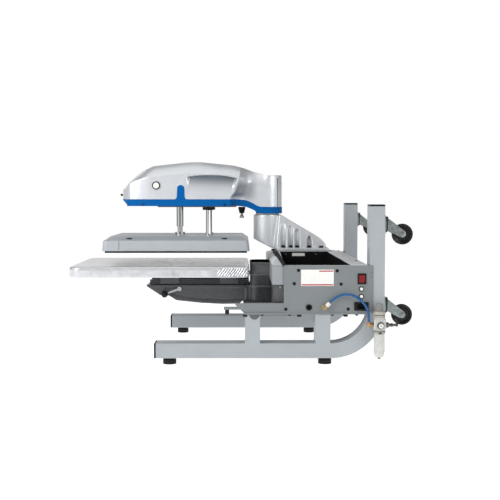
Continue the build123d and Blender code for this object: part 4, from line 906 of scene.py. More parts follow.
def trim_outline(grow):
    """Right half of the trim's plan, from the middle of the nose round to the back."""
    stations = [y for y in head_stations() if y < HEAD_BACK - 0.5]
    for step in range(-16, 17):
        stations.append(FINGER_Y + FINGER_SPAN * math.sin(math.pi / 2 * step / 16))
    stations += [FINGER_Y - FINGER_HALF - 0.06, FINGER_Y + FINGER_HALF + 0.06]
    points = [(0.0, NOSE_Y)]
    for y in sorted(stations):
        points.append((head_half_width(y), y + ridge_shift(y, 60)))
    points.append((0.0, HEAD_BACK))
    grown = []
    for index, (x, y) in enumerate(points):
        before, after = points[max(0, index - 1)], points[min(len(points) - 1, index + 1)]
        ahead = Vector((after[0] - before[0], after[1] - before[1])).normalized()
        if index in (0, len(points) - 1):
            ahead = Vector((1.0, 0.0)) if index == 0 else Vector((-1.0, 0.0))
        grown.append((x + ahead.y * grow, y - ahead.x * grow))
    return grown


def trim_top(y):
    """Upper edge of the trim: along the seam, with a rounded finger on each side."""
    seam = eased(SEAM, y, 6)
    off = abs(y - FINGER_Y)
    if off <= FINGER_HALF:
        return FINGER_TOP - FINGER_HALF + math.sqrt(FINGER_HALF ** 2 - off ** 2)
    if off <= FINGER_SPAN:
        short = FINGER_SPAN - off
        return seam + FINGER_FLARE * 1.6 * (1 - math.sqrt(1 - (short / FINGER_FLARE) ** 2))
    return seam


def head_trim():
    """Blue trim round the foot of the head, with a finger that rises over each side."""
    shape = bmesh.new()
    outer, inner = trim_outline(TRIM_PROUD), trim_outline(-TRIM_DEPTH)
    rings = []
    for side in (1, -1):
        half_rings = []
        for (x, y), (inner_x, inner_y) in zip(outer, inner):
            foot = eased(SEAM, y, 6) - TRIM_HEIGHT
            top = trim_top(y)
            drawn_back = max(y, NOSE_Y + 18.5)
            section = [(inner_x, max(inner_y, NOSE_Y + 20), foot), (x, drawn_back, foot),
                       (x, y, min(top, foot + TRIM_HEIGHT * 0.97)), (x, y, top),
                       (max(0.0, inner_x + 5), inner_y, top)]
            half_rings.append([place(side * a, b, TOWER_TOP + c) for a, b, c in section])
        rings += half_rings if side == 1 else half_rings[-2:0:-1]
    corners = [[shape.verts.new(point) for point in ring] for ring in rings]
    count = len(corners)
    for index in range(count):
        here, after = corners[index], corners[(index + 1) % count]
        for corner in range(len(here)):
            following = (corner + 1) % len(here)
            shape.faces.new((here[corner], after[corner], after[following], here[following]))
    bmesh.ops.remove_doubles(shape, verts=shape.verts, dist=2e-6)
    outward(shape)
    mesh = mesh_of(shape, "head_trim_band")
    smooth(mesh, 40)
    piece = new_piece("head_trim_band", mesh, "trim_blue")
    add_bevel(piece, 0.7, 2, 50)
    stands_for(piece, "head_trim")


head_shell()
head_trim()


# ---- Lower platen wrapper and heat platen cover ----
def ring_points(half_x, low_y, high_y, front_radius, rear_radius, inset, stations, turns):
    """A rounded rectangle drawn in by an inset, always with the same number of points."""
    left, right = -half_x + inset, half_x - inset
    front, rear = low_y + inset, high_y - inset
    points = []

    def corner(centre_x, centre_y, radius, start):
        for step in range(turns + 1):
            angle = math.radians(start + 90 * step / turns)
            points.append((centre_x + radius * math.cos(angle), centre_y + radius * math.sin(angle)))

    def side(start, end):
        for step in range(1, stations):
            share = step / stations
            points.append((mix(start[0], end[0], share), mix(start[1], end[1], share)))

    front_r = max(0.5, min(front_radius - inset, right - left - 1, rear - front - 1))
    rear_r = max(0.5, min(rear_radius - inset, right - left - 1))
    corner(right - rear_r, rear - rear_r, rear_r, 0)
    side(points[-1], (left + rear_r, rear))
    corner(left + rear_r, rear - rear_r, rear_r, 90)
    side(points[-1], (left, front + front_r))
    corner(left + front_r, front + front_r, front_r, 180)
    side(points[-1], (right - front_r, front))
    corner(right - front_r, front + front_r, front_r, 270)
    side(points[-1], (right, rear - rear_r))
    return points


WRAP_STATIONS = 360
WRAP_TURNS = 14
WRAP_CORNERS = (38.0, 9.0)    # radius of the front corners and of the rear ones
DEEPEST_CREASE = 3.6
WRAP_PROFILE = [  # inset from the platen's edge, height above its underside
    (42, 0.6), (40, -0.6), (26, -1.4), (12, -1.9), (5, -1.6), (1, -0.6), (-1, 1.4),
    *[(-1.6, 3 + 1.6 * step) for step in range(16)], (-1.2, 28.6), (-0.6, 30.4), (-0.1, 32), (1.2, 35),
    (3.2, 36.8), (6.0, 37.8), (11, 38.2), (18, 38.3), (28, 38.4), (42, 38.5), (60, 38.5), (85, 38.5),
    (115, 38.6), (150, 38.6), (190, 38.6), (225, 38.6), (246, 38.6)]


def wrap_wrinkle(x, y, inset, rise):
    """Outward and upward push, and the strength of the painted shade in the gathers' creases: slanting
    gathers near the rear, faint tucks elsewhere.
    """
    on_side = 1 - ramp(inset, 2, 14)
    rear = ramp(y, -170, -20)
    slant = y * 0.105 - rise * 0.07 + 0.7 * noise.noise(Vector((y * 0.02, rise * 0.02, x * 0.01)))
    gathers = max(0.0, math.sin(2 * math.pi * slant)) ** 3 * (1 - ramp(rise, 27, 36)) * ramp(rise, 2, 7)
    tucks = noise.noise(Vector((x * 0.011 + 3, y * 0.03, rise * 0.02)))
    fine = noise.noise(Vector((x * 0.05, y * 0.11 + 5, rise * 0.03)))
    top_ripple = noise.noise(Vector((x * 0.018, y * 0.012, 1.7)))
    near_edge = ramp(inset, 0, 8) * (1 - ramp(inset, 30, 120))
    pull = noise.noise(Vector((x * 0.02 + 9, y * 0.06, 4.2))) * near_edge * mix(0.25, 1.0, rear)
    outward_push = on_side * (1.4 * rear ** 2 - 5.0 * gathers * rear ** 2 + 1.2 * tucks
                              + 0.7 * fine * mix(0.7, 1.4, rear))
    upward_push = (1 - on_side) * (0.35 * top_ripple + 0.7 * pull)
    return outward_push, upward_push, on_side * gathers * rear ** 1.5


def corner_pull(x, y, low, high):
    """Direction away from the platen's edge: square to its sides, turning round its corners."""
    middle = Vector((0, min(max(y, low.y + high.x), high.y - high.x)))
    away = (Vector((x, y)) - middle) / high.x
    steep = Vector([math.copysign(abs(part) ** 8, part) for part in away])
    return steep.normalized() if steep.length > 1e-6 else steep


def lower_platen_wrapper():
    """Silvery slip-on wrapper pulled over the lower platen and its foam pad."""
    low, high = machine_box("lower_platen")
    thickness = machine_box("platen_pad")[1].z - low.z
    rings, shades = [], []
    for inset, rise in WRAP_PROFILE:
        ring = []
        for x, y in ring_points(high.x, low.y, high.y, *WRAP_CORNERS, max(inset, 0), WRAP_STATIONS,
                                WRAP_TURNS):
            out, up, shade = wrap_wrinkle(x, y, inset, rise)
            shades.append(shade)
            away = corner_pull(x, y, low, high)
            bulge = max(0.0, -inset) + max(-DEEPEST_CREASE, out)
            height = min(rise + up, thickness)
            ring.append((x + away.x * bulge, y + away.y * bulge, low.z + height))
        rings.append(ring)
    shape = bmesh.new()
    # Each point carries the painted shade of its crease.
    crease = shape.verts.layers.float.new("crease")
    ringed(shape, rings)
    for vert, shade in zip(shape.verts, shades):
        vert[crease] = shade
    outward(shape)
    mesh = mesh_of(shape, "lower_platen_wrapper")
    mesh.shade_smooth()
    piece = new_piece("lower_platen_wrapper", mesh, "pad_wrap")
    stands_for(piece, "platen_pad")


COVER_STEP_Y = -438.0     # rear of the wrap-round end of the cover; the panel behind it is set in
COVER_STEP = 4.2
COVER_PANEL = (4, 39.2)   # lowest and highest rise of that panel
COVER_CORNER = 16.0
BOLT_POCKET = 13.5
BOLT_SEAT = 410.4
COVER_BOLTS = [(x, y) for x in (-175, 175) for y in (-400, -59)]


def cover_levels(top):
    """Heights of the cover above its foot, with the inset across and along the machine."""
    levels = [(0.0, 1.6, 1.6), (0.5, 0.6, 0.6), (1.6, 0.0, 0.0), (6, 0.2, 0.4), (34.5, 1.4, 3.4)]
    for step in range(1, 6):
        angle = math.pi / 2 * step / 5
        drawn_in = 5 * (1 - math.cos(angle))
        levels.append((34.5 + 4.5 * math.sin(angle), 1.4 + drawn_in, 3.4 + drawn_in))
    return levels + [(41.5, 16, 11), (top - 3.6, 46, 21), (top - 1.1, 58, 25), (top, 66, 29),
                     (top, 90, 40), (top, 140, 70), (top, 196, 120)]


def heat_platen_cover():
    """Cast cover over the heat platen, drafted, with side panels set in and sunken bolts."""
    low, high = machine_box("platen_cover")
    base = ring_points(high.x, low.y, high.y, COVER_CORNER, COVER_CORNER, 0.0, 120, 8)
    middle_y = (low.y + high.y) / 2
    rings = []
    for rise, inset_x, inset_y in cover_levels(high.z - low.z):
        shrink_x = (high.x - inset_x) / high.x
        shrink_y = (high.y - low.y - 2 * inset_y) / (high.y - low.y)
        ring = []
        for x, y in base:
            drawn_x = x * shrink_x
            panel = ramp(y, COVER_STEP_Y, COVER_STEP_Y + 3) * (1 - ramp(y, high.y - 8, high.y - 5))
            if abs(x) > high.x - 1 and COVER_PANEL[0] < rise < COVER_PANEL[1]:
                drawn_x -= math.copysign(COVER_STEP * panel, x)
            ring.append((drawn_x, middle_y + (y - middle_y) * shrink_y, low.z + rise))
        rings.append(ring)
    shape = ringed(bmesh.new(), rings)
    outward(shape)
    cover = new_piece("heat_platen_cover", mesh_of(shape, "heat_platen_cover"), "platen_paint")
    cutter, shade_discs = bmesh.new(), bmesh.new()
    for x, y in COVER_BOLTS:
        turned(cutter, [(BOLT_POCKET, 410), (BOLT_POCKET, 440)], (x, y, 0), "z", 28)
        # Black discs close the floors of the bolt pockets: painted shade inside them.
        turned(shade_discs, [(0, 409.4), (13.2, 409.4), (13.2, BOLT_SEAT), (0, BOLT_SEAT)], (x, y, 0), "z", 28)
    carve(cover, cutter)
    smooth(cover.data, 28)
    stands_for(cover, "platen_cover")
    made("pocket_shade_plugs", shade_discs, "black_plastic", "press")


lower_platen_wrapper()
heat_platen_cover()


# ---- Castings ----
def cast_piece(name, shape, paint, voxel, smoothing, *members):
    """Closed shapes run together into one casting with soft fillets where they meet."""
    outward(shape)
    piece = new_piece(name, mesh_of(shape, name), paint)
    joined = piece.modifiers.new("run_together", "REMESH")
    joined.mode = "VOXEL"
    joined.voxel_size = voxel / 1000
    softener = piece.modifiers.new("soft_fillets", "SMOOTH")
    softener.factor = 0.5
    softener.iterations = smoothing
    applied(piece)
    piece.data.shade_smooth()
    piece.data.materials.clear()
    piece.data.materials.append(FINISH[paint])
    stands_for(piece, *members)
    return piece


PLINTH_TOP = 378.0
PLINTH_BASE = 366.0
TOWER_BOLT_YS = (156.8, 184.5, 208.5, 253.5, 297.8)
TOWER_BOLT_X = 64.0
POCKET_HALF = 9.5         # half width of a pocket between two ribs
BUTTRESS_BACK = [(378, 318), (393, 313), (410, 298), (428, 271), (470, 199), (499, 150)]
POCKET_BACK = [(y, z) for z, y in BUTTRESS_BACK[:0:-1]]


def buttress_section(z):
    """Plan of the buttress at a height, from the crease on the column round to its back."""
    rise = (z - PLINTH_TOP) / (TOWER_TOP - PLINTH_TOP)
    crease_y = mix(118, 136, rise)
    crease_x = math.sqrt(51 ** 2 - (crease_y - SWING_Y) ** 2) - 1
    side_x = mix(74, 45, rise)
    back = along(BUTTRESS_BACK, z)
    half = [(crease_x, crease_y), (side_x, crease_y + mix(14, 8, rise)), (side_x, back - 3),
            (side_x - 6, back)]
    return [(x, y, z) for x, y in half] + [(-x, y, z) for x, y in half[::-1]]


def tower_casting():
    """Round column flowing into a ribbed buttress on a bolted foot, all in one casting."""
    heights = [PLINTH_TOP - 6, 393, 410, 428, 450, 474, 499.5]
    buttress = ringed(bmesh.new(), [buttress_section(z) for z in heights])
    pockets = bmesh.new()
    for side in (-1, 1):
        for y in TOWER_BOLT_YS:
            top = along(POCKET_BACK, y) - (16 if y < 290 else 12)
            shoulder = max(PLINTH_TOP + 4, top - 14)
            inner = side * (TOWER_BOLT_X - 4)
            profile = [(POCKET_HALF, PLINTH_TOP), (POCKET_HALF, shoulder), (8.4, top - 8),
                       (5.5, top - 3), (0, top)]
            turned(pockets, profile, (inner, y, 0), "z", 24)
            boxed(pockets, span(side, TOWER_BOLT_X - 4, 95), (y - POCKET_HALF, y + POCKET_HALF),
                  (PLINTH_TOP, shoulder))
    casting = cut_away(buttress, pockets, "buttress")
    turned(casting, [(52, 366), (52, 498.5), (50.5, 500.2), (26.5, 500.2), (26.5, 480), (0, 480)],
           (0, SWING_Y, 0), "z", 64)
    foot = rounded(rectangle((0, 230), (160, 192)), 8)
    plate(casting, foot, "z", PLINTH_BASE, PLINTH_TOP)
    nose = bmesh.new()
    plate(nose, [(40, 410), (40, 350), (134, 350), (134, 366.2), (45.4, 411)], "x", -90, 90)
    casting = cut_away(casting, nose, "column")
    cast_piece("tower_casting_finished", casting, "casting_paint", 1.9, 4, "tower_casting")


ARM_TOP = 240.0
ARM_BELLY = [(-352, 0), (-352, 6), (-300, 41), (-270, 41), (-241, 59), (-147, 69), (-67, 73), (-6, 72)]
ARM_RECESS = [(-288, 212), (-232, 192), (-150, 181), (-60, 178), (18, 184), (18, 229), (-288, 229)]
TRAY_TOP = 178.0
NECK = (0, 84)            # middle of the neck behind the lower platen
PEDESTAL = (0, 230)


def base_casting():
    """Cantilever arm with sunken webs and flanged edges, the neck behind it and the pedestal."""
    outline = [(y, ARM_TOP - drop) for y, drop in ARM_BELLY]
    outline += [(4, TRAY_TOP), (134, TRAY_TOP), (134, ARM_TOP)]
    web, hollow = plate(bmesh.new(), outline, "x", -60, 60), bmesh.new()
    for side in (-1, 1):
        plate(hollow, rounded(ARM_RECESS, 9), "x", *span(side, 57, 80))
    casting = cut_away(web, hollow, "arm")
    for side in (-1, 1):
        boxed(casting, span(side, 56, 60.4), (-344, 34), (233, ARM_TOP))
    neck = rounded(rectangle(NECK, (170, 100)), 30)
    plate(casting, neck, "z", TRAY_TOP, 283)
    # The neck block and its flange bands take the lighter copy of the arm's paint: painted light.
    block = plate(bmesh.new(), neck, "z", 282, 325)
    for low, high, grow in ((232, 239, 3), (276, 283, 4), (318, 325, 3)):
        band = rounded(rectangle(NECK, (170 + grow * 2, 100 + grow)), 31)
        plate(block, band, "z", low, high)
    made("neck_block", block, "neck_lit_paint", "base", 1.4, 3)
    plate(casting, rounded(rectangle(PEDESTAL, (164, 192)), 10), "z", TRAY_TOP, 366)
    cast_piece("base_casting_finished", casting, "arm_paint", 2.6, 3, "base_casting")


tower_casting()
base_casting()


# ---- Housing ----
FASCIA_END_X = 416
FASCIA_FOOT, FASCIA_TOP = 274, 337
NOTCH_X = 88
SKIRT_X = 398
SKIRT_TOP = 272


def front_cover():
    """Pale fascia over a narrower dark skirt, with a notch for the neck of the casting."""
    end, inner = FASCIA_END_X, FASCIA_END_X - 2
    outline = [(-end, 143), (-end, 105), (end, 105), (end, 143), (inner, 143), (inner, 107),
               (-inner, 107), (-inner, 143)]
    fascia = plate(bmesh.new(), outline, "z", FASCIA_FOOT, FASCIA_TOP)
    for side in (-1, 1):
        low, high = span(side, NOTCH_X, end)
        plate(fascia, [(low, 105), (high, 105), (high, 143), (low, 143)], "z", SKIRT_TOP, FASCIA_FOOT)
    notch = boxed(bmesh.new(), (-NOTCH_X, NOTCH_X), (100, 106.9), (260, 328))
    fascia = cut_away(fascia, notch, "fascia")
    piece = made("front_fascia", fascia, "fascia_shaded_paint", "base", 1.6, 3)
    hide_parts("front_cover")
    skirt = bmesh.new()
    for side in (-1, 1):
        outline = [(SKIRT_X, 143), (SKIRT_X, 112), (NOTCH_X, 112), (NOTCH_X, 114),
                   (SKIRT_X - 2, 114), (SKIRT_X - 2, 143)]
        plate(skirt, [(side * x, y) for x, y in outline], "z", TRAY_TOP, SKIRT_TOP)
        boxed(skirt, span(side, SKIRT_X - 3, SKIRT_X + 4), (138, 143), (TRAY_TOP, SKIRT_TOP))
        boxed(skirt, span(side, SKIRT_X, SKIRT_X + 2.5), (110, 112.6), (186, SKIRT_TOP))
    made("front_skirt", skirt, "skirt_paint", "base", 0.8)


def edge_seal():
    """Black rubber strip between the fascia and the front edge of each tool tray."""
    strip = bmesh.new()
    for side in (-1, 1):
        outer = [(139, 334), (150, 334), (150, 339.5), (139, 339.5)]
        inner = [(117, 360.5), (137, 360.5), (137, 365.6), (117, 365.6)]
        ringed(strip, [[(side * x, y, z) for y, z in end] for x, end in ((420.8, outer), (84, inner))])
    made("tray_edge_seal", strip, "rubber", "base", 0.5)


def strut_shade_plates():
    """Dark half-round plates on the struts' tops that stand in for the shade falling there, with black
    packing pieces.
    """
    dark_shade_plates, packing = bmesh.new(), bmesh.new()
    arc = [(45.0 + 17 * math.cos(math.pi + math.pi * step / 16),
            171.8 + 17 * math.sin(math.pi + math.pi * step / 16)) for step in range(17)]
    for side in (-1, 1):
        plate(dark_shade_plates, arc, "x", *span(side, 419.2, 420.8))
        for y in (14.0, 196.0, 352.0):
            boxed(packing, span(side, 404, 421), (y - 7, y + 7), (164, 171.8))
    made("strut_shade_plates", dark_shade_plates, "skirt_paint", "base", 0.5)
    made("flange_packing", packing, "rubber", "base", 1.0)


def blank_plates():
    """Blank plates: white ones on the trays' inner walls, one with red bands on the side panel."""
    labels = bmesh.new()
    for side in (-1, 1):
        outline = rounded(rectangle((212, 354), (47, 11)), 1.5)
        plate(labels, outline, "x", *span(side, TRAY_WALL_X + 0.1, TRAY_WALL_X + 1.2))
    made("blank_tray_plates", labels, "white_plastic", "base", 0.2, 1)
    blank = rounded(rectangle((256, 295.5), (110, 55)), 2)
    blank = plate(bmesh.new(), blank, "x", SIDE_X - 0.7, SIDE_X)
    made("blank_side_plate", blank, "white_plastic", "base", 0.15, 1)
    bands = bmesh.new()
    for y, z in (((203, 309), (270, 274)), ((262, 309), (316, 320))):
        boxed(bands, (SIDE_X - 0.1, SIDE_X + 0.2), y, z)
    made("side_plate_bands", bands, "plate_red", "base")


front_cover()
edge_seal()
strut_shade_plates()
blank_plates()


# ---- Fasteners, by Geometry Nodes ----
WASHER_SIDES = 28
SOCKET_DEPTH = 0.6        # as a share of the head's height


def fastener_tree():
    """Screws set on points: a washer, a head and the socket sunk in it."""
    tree = bpy.data.node_groups.new("fastener_set", "GeometryNodeTree")
    face = tree.interface
    face.new_socket("Places", in_out="INPUT", socket_type="NodeSocketGeometry")
    for name, kind, value in (("Head radius", "NodeSocketFloat", 0.004),
                              ("Head height", "NodeSocketFloat", 0.003),
                              ("Washer radius", "NodeSocketFloat", 0.006),
                              ("Washer thickness", "NodeSocketFloat", 0.001),
                              ("Sides", "NodeSocketInt", 24),
                              ("Socket share", "NodeSocketFloat", 0.5),
                              ("Direction", "NodeSocketVector", (0.0, 0.0, 0.0)),
                              ("Finish", "NodeSocketMaterial", None)):
        socket = face.new_socket(name, in_out="INPUT", socket_type=kind)
        if value is not None:
            socket.default_value = value
    face.new_socket("Screws", in_out="OUTPUT", socket_type="NodeSocketGeometry")
    add, link = tree.nodes.new, tree.links.new
    given = add("NodeGroupInput").outputs
    result = add("NodeGroupOutput")

    def cylinder(radius, depth):
        node = add("GeometryNodeMeshCylinder")
        node.inputs["Vertices"].default_value = WASHER_SIDES
        link(given[radius], node.inputs["Radius"])
        link(given[depth], node.inputs["Depth"])
        return node

    def share_of(size, share):
        product = add("ShaderNodeMath")
        product.operation = "MULTIPLY"
        link(given[size], product.inputs[0])
        product.inputs[1].default_value = share
        return product.outputs[0]

    def lifted(mesh, height):
        up = add("ShaderNodeCombineXYZ")
        link(height, up.inputs["Z"])
        move = add("GeometryNodeTransform")
        link(mesh, move.inputs["Geometry"])
        link(up.outputs[0], move.inputs["Translation"])
        return move.outputs[0]

    head = cylinder("Head radius", "Head height")
    link(given["Sides"], head.inputs["Vertices"])
    rim = add("GeometryNodeExtrudeMesh")
    rim.mode = "FACES"
    link(head.outputs["Mesh"], rim.inputs["Mesh"])
    link(head.outputs["Top"], rim.inputs["Selection"])
    rim.inputs["Offset Scale"].default_value = 0.0
    narrowed = add("GeometryNodeScaleElements")
    link(rim.outputs["Mesh"], narrowed.inputs["Geometry"])
    link(rim.outputs["Top"], narrowed.inputs["Selection"])
    link(given["Socket share"], narrowed.inputs["Scale"])
    drive = add("GeometryNodeExtrudeMesh")
    drive.mode = "FACES"
    link(narrowed.outputs[0], drive.inputs["Mesh"])
    link(rim.outputs["Top"], drive.inputs["Selection"])
    link(share_of("Head height", -SOCKET_DEPTH), drive.inputs["Offset Scale"])
    washer = cylinder("Washer radius", "Washer thickness")
    seat = add("ShaderNodeMath")
    link(share_of("Head height", 0.5), seat.inputs[0])
    link(given["Washer thickness"], seat.inputs[1])
    both = add("GeometryNodeJoinGeometry")
    link(lifted(drive.outputs["Mesh"], seat.outputs[0]), both.inputs[0])
    link(lifted(washer.outputs["Mesh"], share_of("Washer thickness", 0.5)), both.inputs[0])
    turn = add("FunctionNodeEulerToRotation")
    link(given["Direction"], turn.inputs[0])
    spread = add("GeometryNodeInstanceOnPoints")
    link(given["Places"], spread.inputs["Points"])
    link(both.outputs[0], spread.inputs["Instance"])
    link(turn.outputs[0], spread.inputs["Rotation"])
    real = add("GeometryNodeRealizeInstances")
    link(spread.outputs[0], real.inputs[0])
    painted = add("GeometryNodeSetMaterial")
    link(real.outputs[0], painted.inputs["Geometry"])
    link(given["Finish"], painted.inputs["Material"])
    link(painted.outputs[0], result.inputs[0])
    return tree


FASTENERS = fastener_tree()
FACING = {"+x": (0, math.pi / 2, 0), "-x": (0, -math.pi / 2, 0), "+y": (-math.pi / 2, 0, 0),
          "-y": (math.pi / 2, 0, 0), "+z": (0, 0, 0), "-z": (math.pi, 0, 0)}


def fasteners(name, places, facing, head, washer, paint, body, sides=24, socket=0.5):
    """Equal screws at machine points; head and washer give a radius and a height in millimetres."""
    mesh = bpy.data.meshes.new(name)
    mesh.from_pydata([place(*spot) for spot in places], [], [])
    piece = linked(name, mesh)
    nodes_on = piece.modifiers.new("screws", "NODES")
    nodes_on.node_group = FASTENERS
    values = {"Head radius": head[0] / 1000, "Head height": head[1] / 1000,
              "Washer radius": washer[0] / 1000, "Washer thickness": washer[1] / 1000, "Sides": sides,
              "Socket share": socket, "Direction": FACING[facing], "Finish": FINISH[paint]}
    for item in FASTENERS.interface.items_tree:
        if item.in_out == "INPUT" and item.name in values:
            nodes_on[item.identifier] = values[item.name]
    applied(piece)
    smooth(piece.data, 32)
    add_bevel(piece, 0.35, 2, 40)
    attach(piece, body)
    return piece


PANEL_SCREWS = [(192.7, 320.6), (322.3, 318.9), (178.4, 275.8), (335.6, 274.2), (150.3, 190),
                (359.7, 190)]
SIDE_SCREWS = (           # name, distance from the centre plane, places, head, washer, finish, socket
    ("panel_screws", SIDE_X, PANEL_SCREWS, (3.8, 1.9), (5.6, 0.7), "black_plastic", 0.55),
    ("corner_screws", SIDE_X, [(438.5, 310), (438.5, 295)], (3.0, 1.6), (3.6, 0.4), "zinc", 0.55),
    ("tray_screws", TRAY_WALL_X, [(165, 355), (277, 355)], (2.6, 1.6), (4.0, 0.5), "zinc", 0.5),
    ("skirt_screws", SKIRT_X + 0.1, [(115.5, 192), (132, 262)], (3.2, 1.8), (4.6, 0.6), "zinc", 0.5))


def base_fasteners():
    """Every screw of the base, as one set for each kind and direction."""
    bolts = [(side * TOWER_BOLT_X, y, PLINTH_TOP) for side in (-1, 1) for y in TOWER_BOLT_YS]
    tower = fasteners("tower_bolts", bolts, "+z", (6.4, 7.0), (8.2, 1.4), "black_plastic", "base")
    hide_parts("base_screws")
    for hand, facing, side in SIDES:
        for name, x, spots, head, washer, paint, socket in SIDE_SCREWS:
            places = [(side * x, y, z) for y, z in spots]
            fasteners(f"{name}_{hand}", places, facing, head, washer, paint, "base", socket=socket)
    flange = [(side * 410, y, 172.0) for side in (-1, 1) for y in (71.2, 163.6, 307.9, 390.0)]
    fasteners("flange_bolts", flange, "-z", (5.5, 4.2), (7.0, 0.9), "black_plastic", "base", sides=6,
              socket=0.1)
    roof = [(side * x, y, z) for side in (-1, 1) for x, y, z in ((60, 331.5, 365.4), (300, 400, 345.0))]
    fasteners("roof_screws", roof, "+z", (3.2, 1.8), (4.4, 0.5), "black_plastic", "base")


base_fasteners()


# ---- Casters ----
CASTER_X = 381.0
CASTER_PLACES = [(side * CASTER_X, z) for side in (1, -1) for z in (201.0, 474.0)]
POST_REAR = machine_box("caster_plates")[0].y
PLATE_FACE = POST_REAR + 3.4
CROWN_Y = POST_REAR + 10
WHEEL_Y = 545.9
WHEEL_DROP = 33.5
CHEEK_IN, CHEEK_OUT, CHEEK_LIP = 15, 17.4, 18     # faces of a fork's cheek, from the middle of the wheel
SPOKES = 8


def behind(start, profile):
    """A profile of (radius, height) points with its heights counted from a start."""
    return [(radius, start + height) for radius, height in profile]


def caster_plates():
    """Pressed mounting plates with their ball races and kingpins."""
    plates = bmesh.new()
    race = behind(POST_REAR, [(0, 3.2), (24, 3.4), (24, 4.4), (22, 5.2), (22, 7), (20.6, 7.6), (17, 7.9),
                              (0, 7.9)])
    pin = behind(POST_REAR, [(0, 7), (8, 7), (8, 15.5), (11, 15.5), (11, 18), (9, 19), (0, 19)])
    for x, z in CASTER_PLACES:
        plate(plates, rounded(rectangle((x, z), (62, 62)), 7), "y", POST_REAR, PLATE_FACE)
        turned(plates, race, (x, 0, z), "y", 40)
        turned(plates, pin, (x, 0, z), "y", 24)
    piece = made("caster_plates_finished", plates, "zinc", "base", 0.7)
    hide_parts("caster_plates")
    bolts = [(x + dx, PLATE_FACE, z + dz) for x, z in CASTER_PLACES
             for dx in (-22.3, 22.3) for dz in (-22.3, 22.3)]
    fasteners("caster_bolts", bolts, "+y", (4.6, 2.8), (6.0, 0.8), "black_steel", "base", sides=6,
              socket=0.1)


def turned_edge(fork, x, side, cheek):
    """A raised lip round the outside of a fork's cheek."""
    lip = [Vector(point) for point in rounded(cheek, 7)]
    centre = sum(lip, Vector((0, 0))) / len(lip)
    inner = [centre + (point - centre) * 0.9 for point in lip]
    loops = ((CHEEK_OUT, lip), (CHEEK_LIP, lip), (CHEEK_LIP, inner), (CHEEK_OUT, inner))
    rings = [[fork.verts.new(place(x + side * off, *point)) for point in loop] for off, loop in loops]
    for lower, upper in zip(rings, rings[1:] + rings[:1]):
        for step in range(len(lip)):
            after = (step + 1) % len(lip)
            fork.faces.new((lower[step], lower[after], upper[after], upper[step]))


def caster_fork(index, x, z):
    """Pressed fork: domed crown, a dark race line and triangular cheeks with turned edges."""
    fork = bmesh.new()
    crown = behind(CROWN_Y, [(8.4, 0), (25.5, 0), (27, 0.8), (27, 2.6), (25, 4.4), (12, 5), (8.4, 5)])
    turned(fork, crown, (x, 0, z), "y", 44)
    axle_z = z - WHEEL_DROP
    cheek = [(CROWN_Y + 3, z + 21), (CROWN_Y + 3, z - 22), (WHEEL_Y - 9, axle_z - 10),
             (WHEEL_Y + 3, axle_z - 12), (WHEEL_Y + 11, axle_z - 3), (WHEEL_Y + 9, axle_z + 8),
             (WHEEL_Y - 6, axle_z + 20)]
    for side in (-1, 1):
        plate(fork, rounded(cheek, 7), "x", *span(side, CHEEK_IN, CHEEK_OUT, x))
        turned_edge(fork, x, side, cheek)
    for side in (-1, 1):
        nut = [(0, 18), (10, 18), (10, 19), (7.5, 19.2), (7.5, 21.2), (6, 21.6), (0, 21.6)]
        turned(fork, handed(nut, side), (x, WHEEL_Y, axle_z), "x", 24)
    turned(fork, [(0, -18), (6, -18), (6, 18), (0, 18)], (x, WHEEL_Y, axle_z), "x", 20)
    piece = made(f"caster_fork_{index}_finished", fork, "zinc", f"caster_fork_{index}", 0.5)
    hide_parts(f"caster_fork_{index}")


def caster_wheel(index, x, z):
    """Glossy black wheel with a crowned tread, dished faces, a raised ring and a hub."""
    profile = [(6.2, -14.5), (11.5, -14.5), (12, -13.8), (12, -9), (14, -7.4), (22, -7.2), (23.4, -8.8),
               (25.4, -9.4), (26.4, -8.6), (27.2, -10.6), (28.8, -11.6), (31.2, -11.9), (33.8, -10.6),
               (35.2, -7.6), (35.5, -3.5), (35.5, 0)]
    hub = (WHEEL_Y, z - WHEEL_DROP)
    wheel = turned(bmesh.new(), profile + handed(profile[-2::-1], -1), (x, *hub), "x", 72)
    for step in range(SPOKES):
        spoke = spoked(hub, 2 * math.pi * step / SPOKES, ((12, -1.6), (23, -1.2), (23, 1.2), (12, 1.6)))
        for side in (-1, 1):
            plate(wheel, spoke, "x", *span(side, 6.8, 8.6, x))
    piece = made(f"caster_wheel_{index}_finished", wheel, "tyre", f"caster_wheel_{index}", degrees=30)
    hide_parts(f"caster_wheel_{index}")


def wheel_caps(index, x, z):
    """Bright bearing caps pressed into the wheel hubs."""
    caps = bmesh.new()
    for side in (-1, 1):
        cap = [(6.3, 14.6), (9.6, 14.6), (9.6, 13.6), (10.6, 13.4), (6.3, 13.4)]
        turned(caps, handed(cap, side), (x, WHEEL_Y, z - WHEEL_DROP), "x", 28)
    made(f"wheel_caps_{index}", caps, "plain_steel", f"caster_wheel_{index}")


caster_plates()
for number, (caster_x, caster_z) in enumerate(CASTER_PLACES, 1):
    caster_fork(number, caster_x, caster_z)
    caster_wheel(number, caster_x, caster_z)
for number, (caster_x, caster_z) in enumerate(CASTER_PLACES, 1):
    wheel_caps(number, caster_x, caster_z)


# ---- Filter regulator and air fittings ----
REGULATOR = (449.1, 461.0)
REGULATOR_AXIS = (*REGULATOR, 0)
PORT_Z = 140.0
BRACKET_X = 419.2
KNOB_RIBS = 24
BOWL_RIBS = 6
FITTING = (281, 196)      # where the angled fitting leaves the side panel
ELBOW_Y = 425.5


